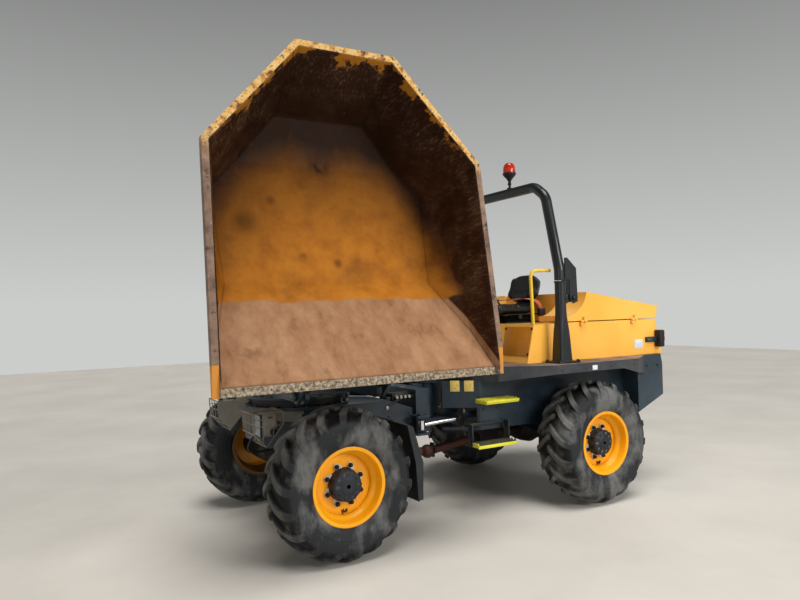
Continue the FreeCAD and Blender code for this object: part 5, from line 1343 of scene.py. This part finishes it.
class DUMPER_OT_labels(bpy.types.Operator):
    """Blank yellow and white labels, each a thin sheet with round corners"""
    bl_idname = "dumper.labels"
    bl_label = "Blank labels"

    def execute(self, context):

        def label(middle, size, along, out):
            side = np.cross(out, along)
            return soft_boxes(middle, (*size, 0.0016), 0.0007, axes=np.array([along, side, out]), m=2)

        angle = math.radians(-40)
        along = np.array([math.cos(angle), math.sin(angle), 0])
        plate_shape = label(mm(2620, -172, 1000.9), (0.13, 0.075), along, Z)
        piece("slew_label", "front_chassis", [(plate_shape, "sticker")])
        cheek = np.array([0.6247, 0.7809, 0])
        shapes = [(label(mm(1165, 491, 1065), (0.08, 0.092), np.cross(Z, cheek) * -1, cheek), "sticker"),
            (label(mm(1072, 565, 1065), (0.08, 0.092), np.cross(Z, cheek) * -1, cheek), "sticker"),
            (label(mm(82, 1051, 1186), (0.06, 0.04), X, Y), "label"), (label(mm(-815, 761, 1336),
            (0.115, 0.085), X, Y), "label")]
        piece("body_labels", "root", shapes)
        return {"FINISHED"}


class DUMPER_OT_trim(bpy.types.Operator):
    """Step treads, mudguard flaps, weld beads, the bonnet's pull, seat box covers and shaft joints"""
    bl_idname = "dumper.trim"
    bl_label = "Trim"

    def execute(self, context):
        grid_x = 766 + 23 * np.arange(17)
        shapes = blocks((886, 708, 940, (0.348, 0.156, 0.03), 0.004, 2, "rail"),
            (886, 788, 946, (0.348, 0.006, 0.02), 0.002, 2, "rail"), (722 + 27.4 * np.arange(13),
            (650, 700, 750), 958, (0.015, 0.03, 0.008), 0.002, 1, "rail"),
            (950, (647, 775), 587, (0.398, 0.012, 0.03), 0.002, 2, "guard"),
            ((759, 1141), 671, 676, (0.013, 0.06, 0.17), 0.002, 2, "guard"),
            (950, 632, 745, (0.392, 0.02, 0.026), 0.002, 2, "guard"), (grid_x, 711, 590,
            (0.009, 0.124, 0.022), 0.002, 1, "guard"), (grid_x, 660 + 20 * np.arange(6), 603,
            (0.008, 0.01, 0.01), 0.002, 1, "tread_steel"), (950, 785, 584, (0.4, 0.009, 0.026), 0.002, 2,
            "rail"), (1145, 742, 596, (0.012, 0.078, 0.034), 0.002, 2, "rail"))
        treads = piece("steps_dressed", "root", shapes)
        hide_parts("steps")

        shapes = blocks((1868, 863, 470, (0.010, 0.30, 0.30), 0.004, 2, "flap"))
        piece("mudguard_flaps", "front_chassis", shapes)

        # weld beads: a small circle carried along each joint, swelling at every deposit
        shapes = []
        for side in (1, -1):
            foot = [mm(HOOP_X + dx, side * LEG_Y + dy, DECK_TOP + 17) for dx,
                dy in ((-76, -63), (63, -63), (63, 63), (-76, 63), (-76, -63))]
            shapes.append((tube(line(foot, 220), 0.0045, 8, 0.25, 60), "rops"))
        piece("hoop_welds", "root", shapes)

        shapes = []
        for side in (1, -1):
            x = SLEW_X + side * 280
            bead = line([mm(x, -405, 1246), mm(x, 190, 1246)], 160)
            shapes.append((tube(bead - X * side * 0.0075 - Z * 0.166, 0.005, 8, 0.25, 60), "chassis"))
        piece("table_welds", "table", shapes)

        pull = soft_boxes(mm(-560, -HOOD_HALF - 2, 1596), (0.09, 0.012, 0.028), 0.005)
        piece("bonnet_pull", "lid", [(pull, "plastic")])

        slope = np.array([0.968, 0, 0.251])
        lean = np.array([-0.251, 0, 0.968])
        axes = np.array([np.cross(slope, lean), lean, slope])
        shapes = []
        # the covers take the orange enamel darkened as painted shade for the box's front
        for y, wide in ((575, 0.36), (0, 0.62), (-575, 0.36)):
            x = BOX_FOOT - BOX_SLOPE * (1421 - BOX_LOW)
            shapes.append((soft_boxes(mm(x, y, 1421) + slope * 0.002, (wide, 0.26, 0.008), 0.0035,
                axes=axes, m=2), "box_front"))
        piece("seat_box_covers", "root", shapes)

        shapes = []
        for x, z in ((258, 530), (385, 530), (690, 480), (1095, 437)):
            centre = mm(x, 0, z)
            shapes.append((soft_boxes([centre, centre], [(0.03, 0.13, 0.05), (0.03, 0.05, 0.13)], 0.008),
                "bolt"))
        piece("shaft_joints", "root", shapes)
        return {"FINISHED"}


class DUMPER_PT_panel(bpy.types.Panel):
    """Lists the dumper's steps in the order in which they are run"""
    bl_idname = "DUMPER_PT_panel"
    bl_label = "Site dumper"
    bl_space_type = "VIEW_3D"
    bl_region_type = "UI"
    bl_category = "Dumper"

    def draw(self, context):
        scene = context.scene
        for group in (scene.dumper_stage, scene.dumper_paint, scene.dumper_wheels):
            for key in group.__annotations__:
                self.layout.prop(group, key)
        for step in STEPS:
            self.layout.operator(step.bl_idname)


SETTINGS = {"dumper_stage": DumperStageSettings, "dumper_paint": DumperPaintSettings,
    "dumper_wheels": DumperWheelSettings}
STEPS = [DUMPER_OT_stage, DUMPER_OT_paint, DUMPER_OT_tyres, DUMPER_OT_rims, DUMPER_OT_beacon,
         DUMPER_OT_lamps, DUMPER_OT_seat, DUMPER_OT_legs, DUMPER_OT_controls, DUMPER_OT_hydraulics,
         DUMPER_OT_fasteners, DUMPER_OT_labels, DUMPER_OT_trim]


def register():
    for made in (*SETTINGS.values(), *STEPS, DUMPER_PT_panel):
        bpy.utils.register_class(made)
    for name, group in SETTINGS.items():
        setattr(bpy.types.Scene, name, PointerProperty(type=group))


def unregister():
    for name in SETTINGS:
        delattr(bpy.types.Scene, name)
    for made in reversed((*SETTINGS.values(), *STEPS, DUMPER_PT_panel)):
        bpy.utils.unregister_class(made)


def main():
    register()
    for step in STEPS:
        area, action = step.bl_idname.split(".")
        getattr(getattr(bpy.ops, area), action)()


if __name__ == "__main__":
    main()
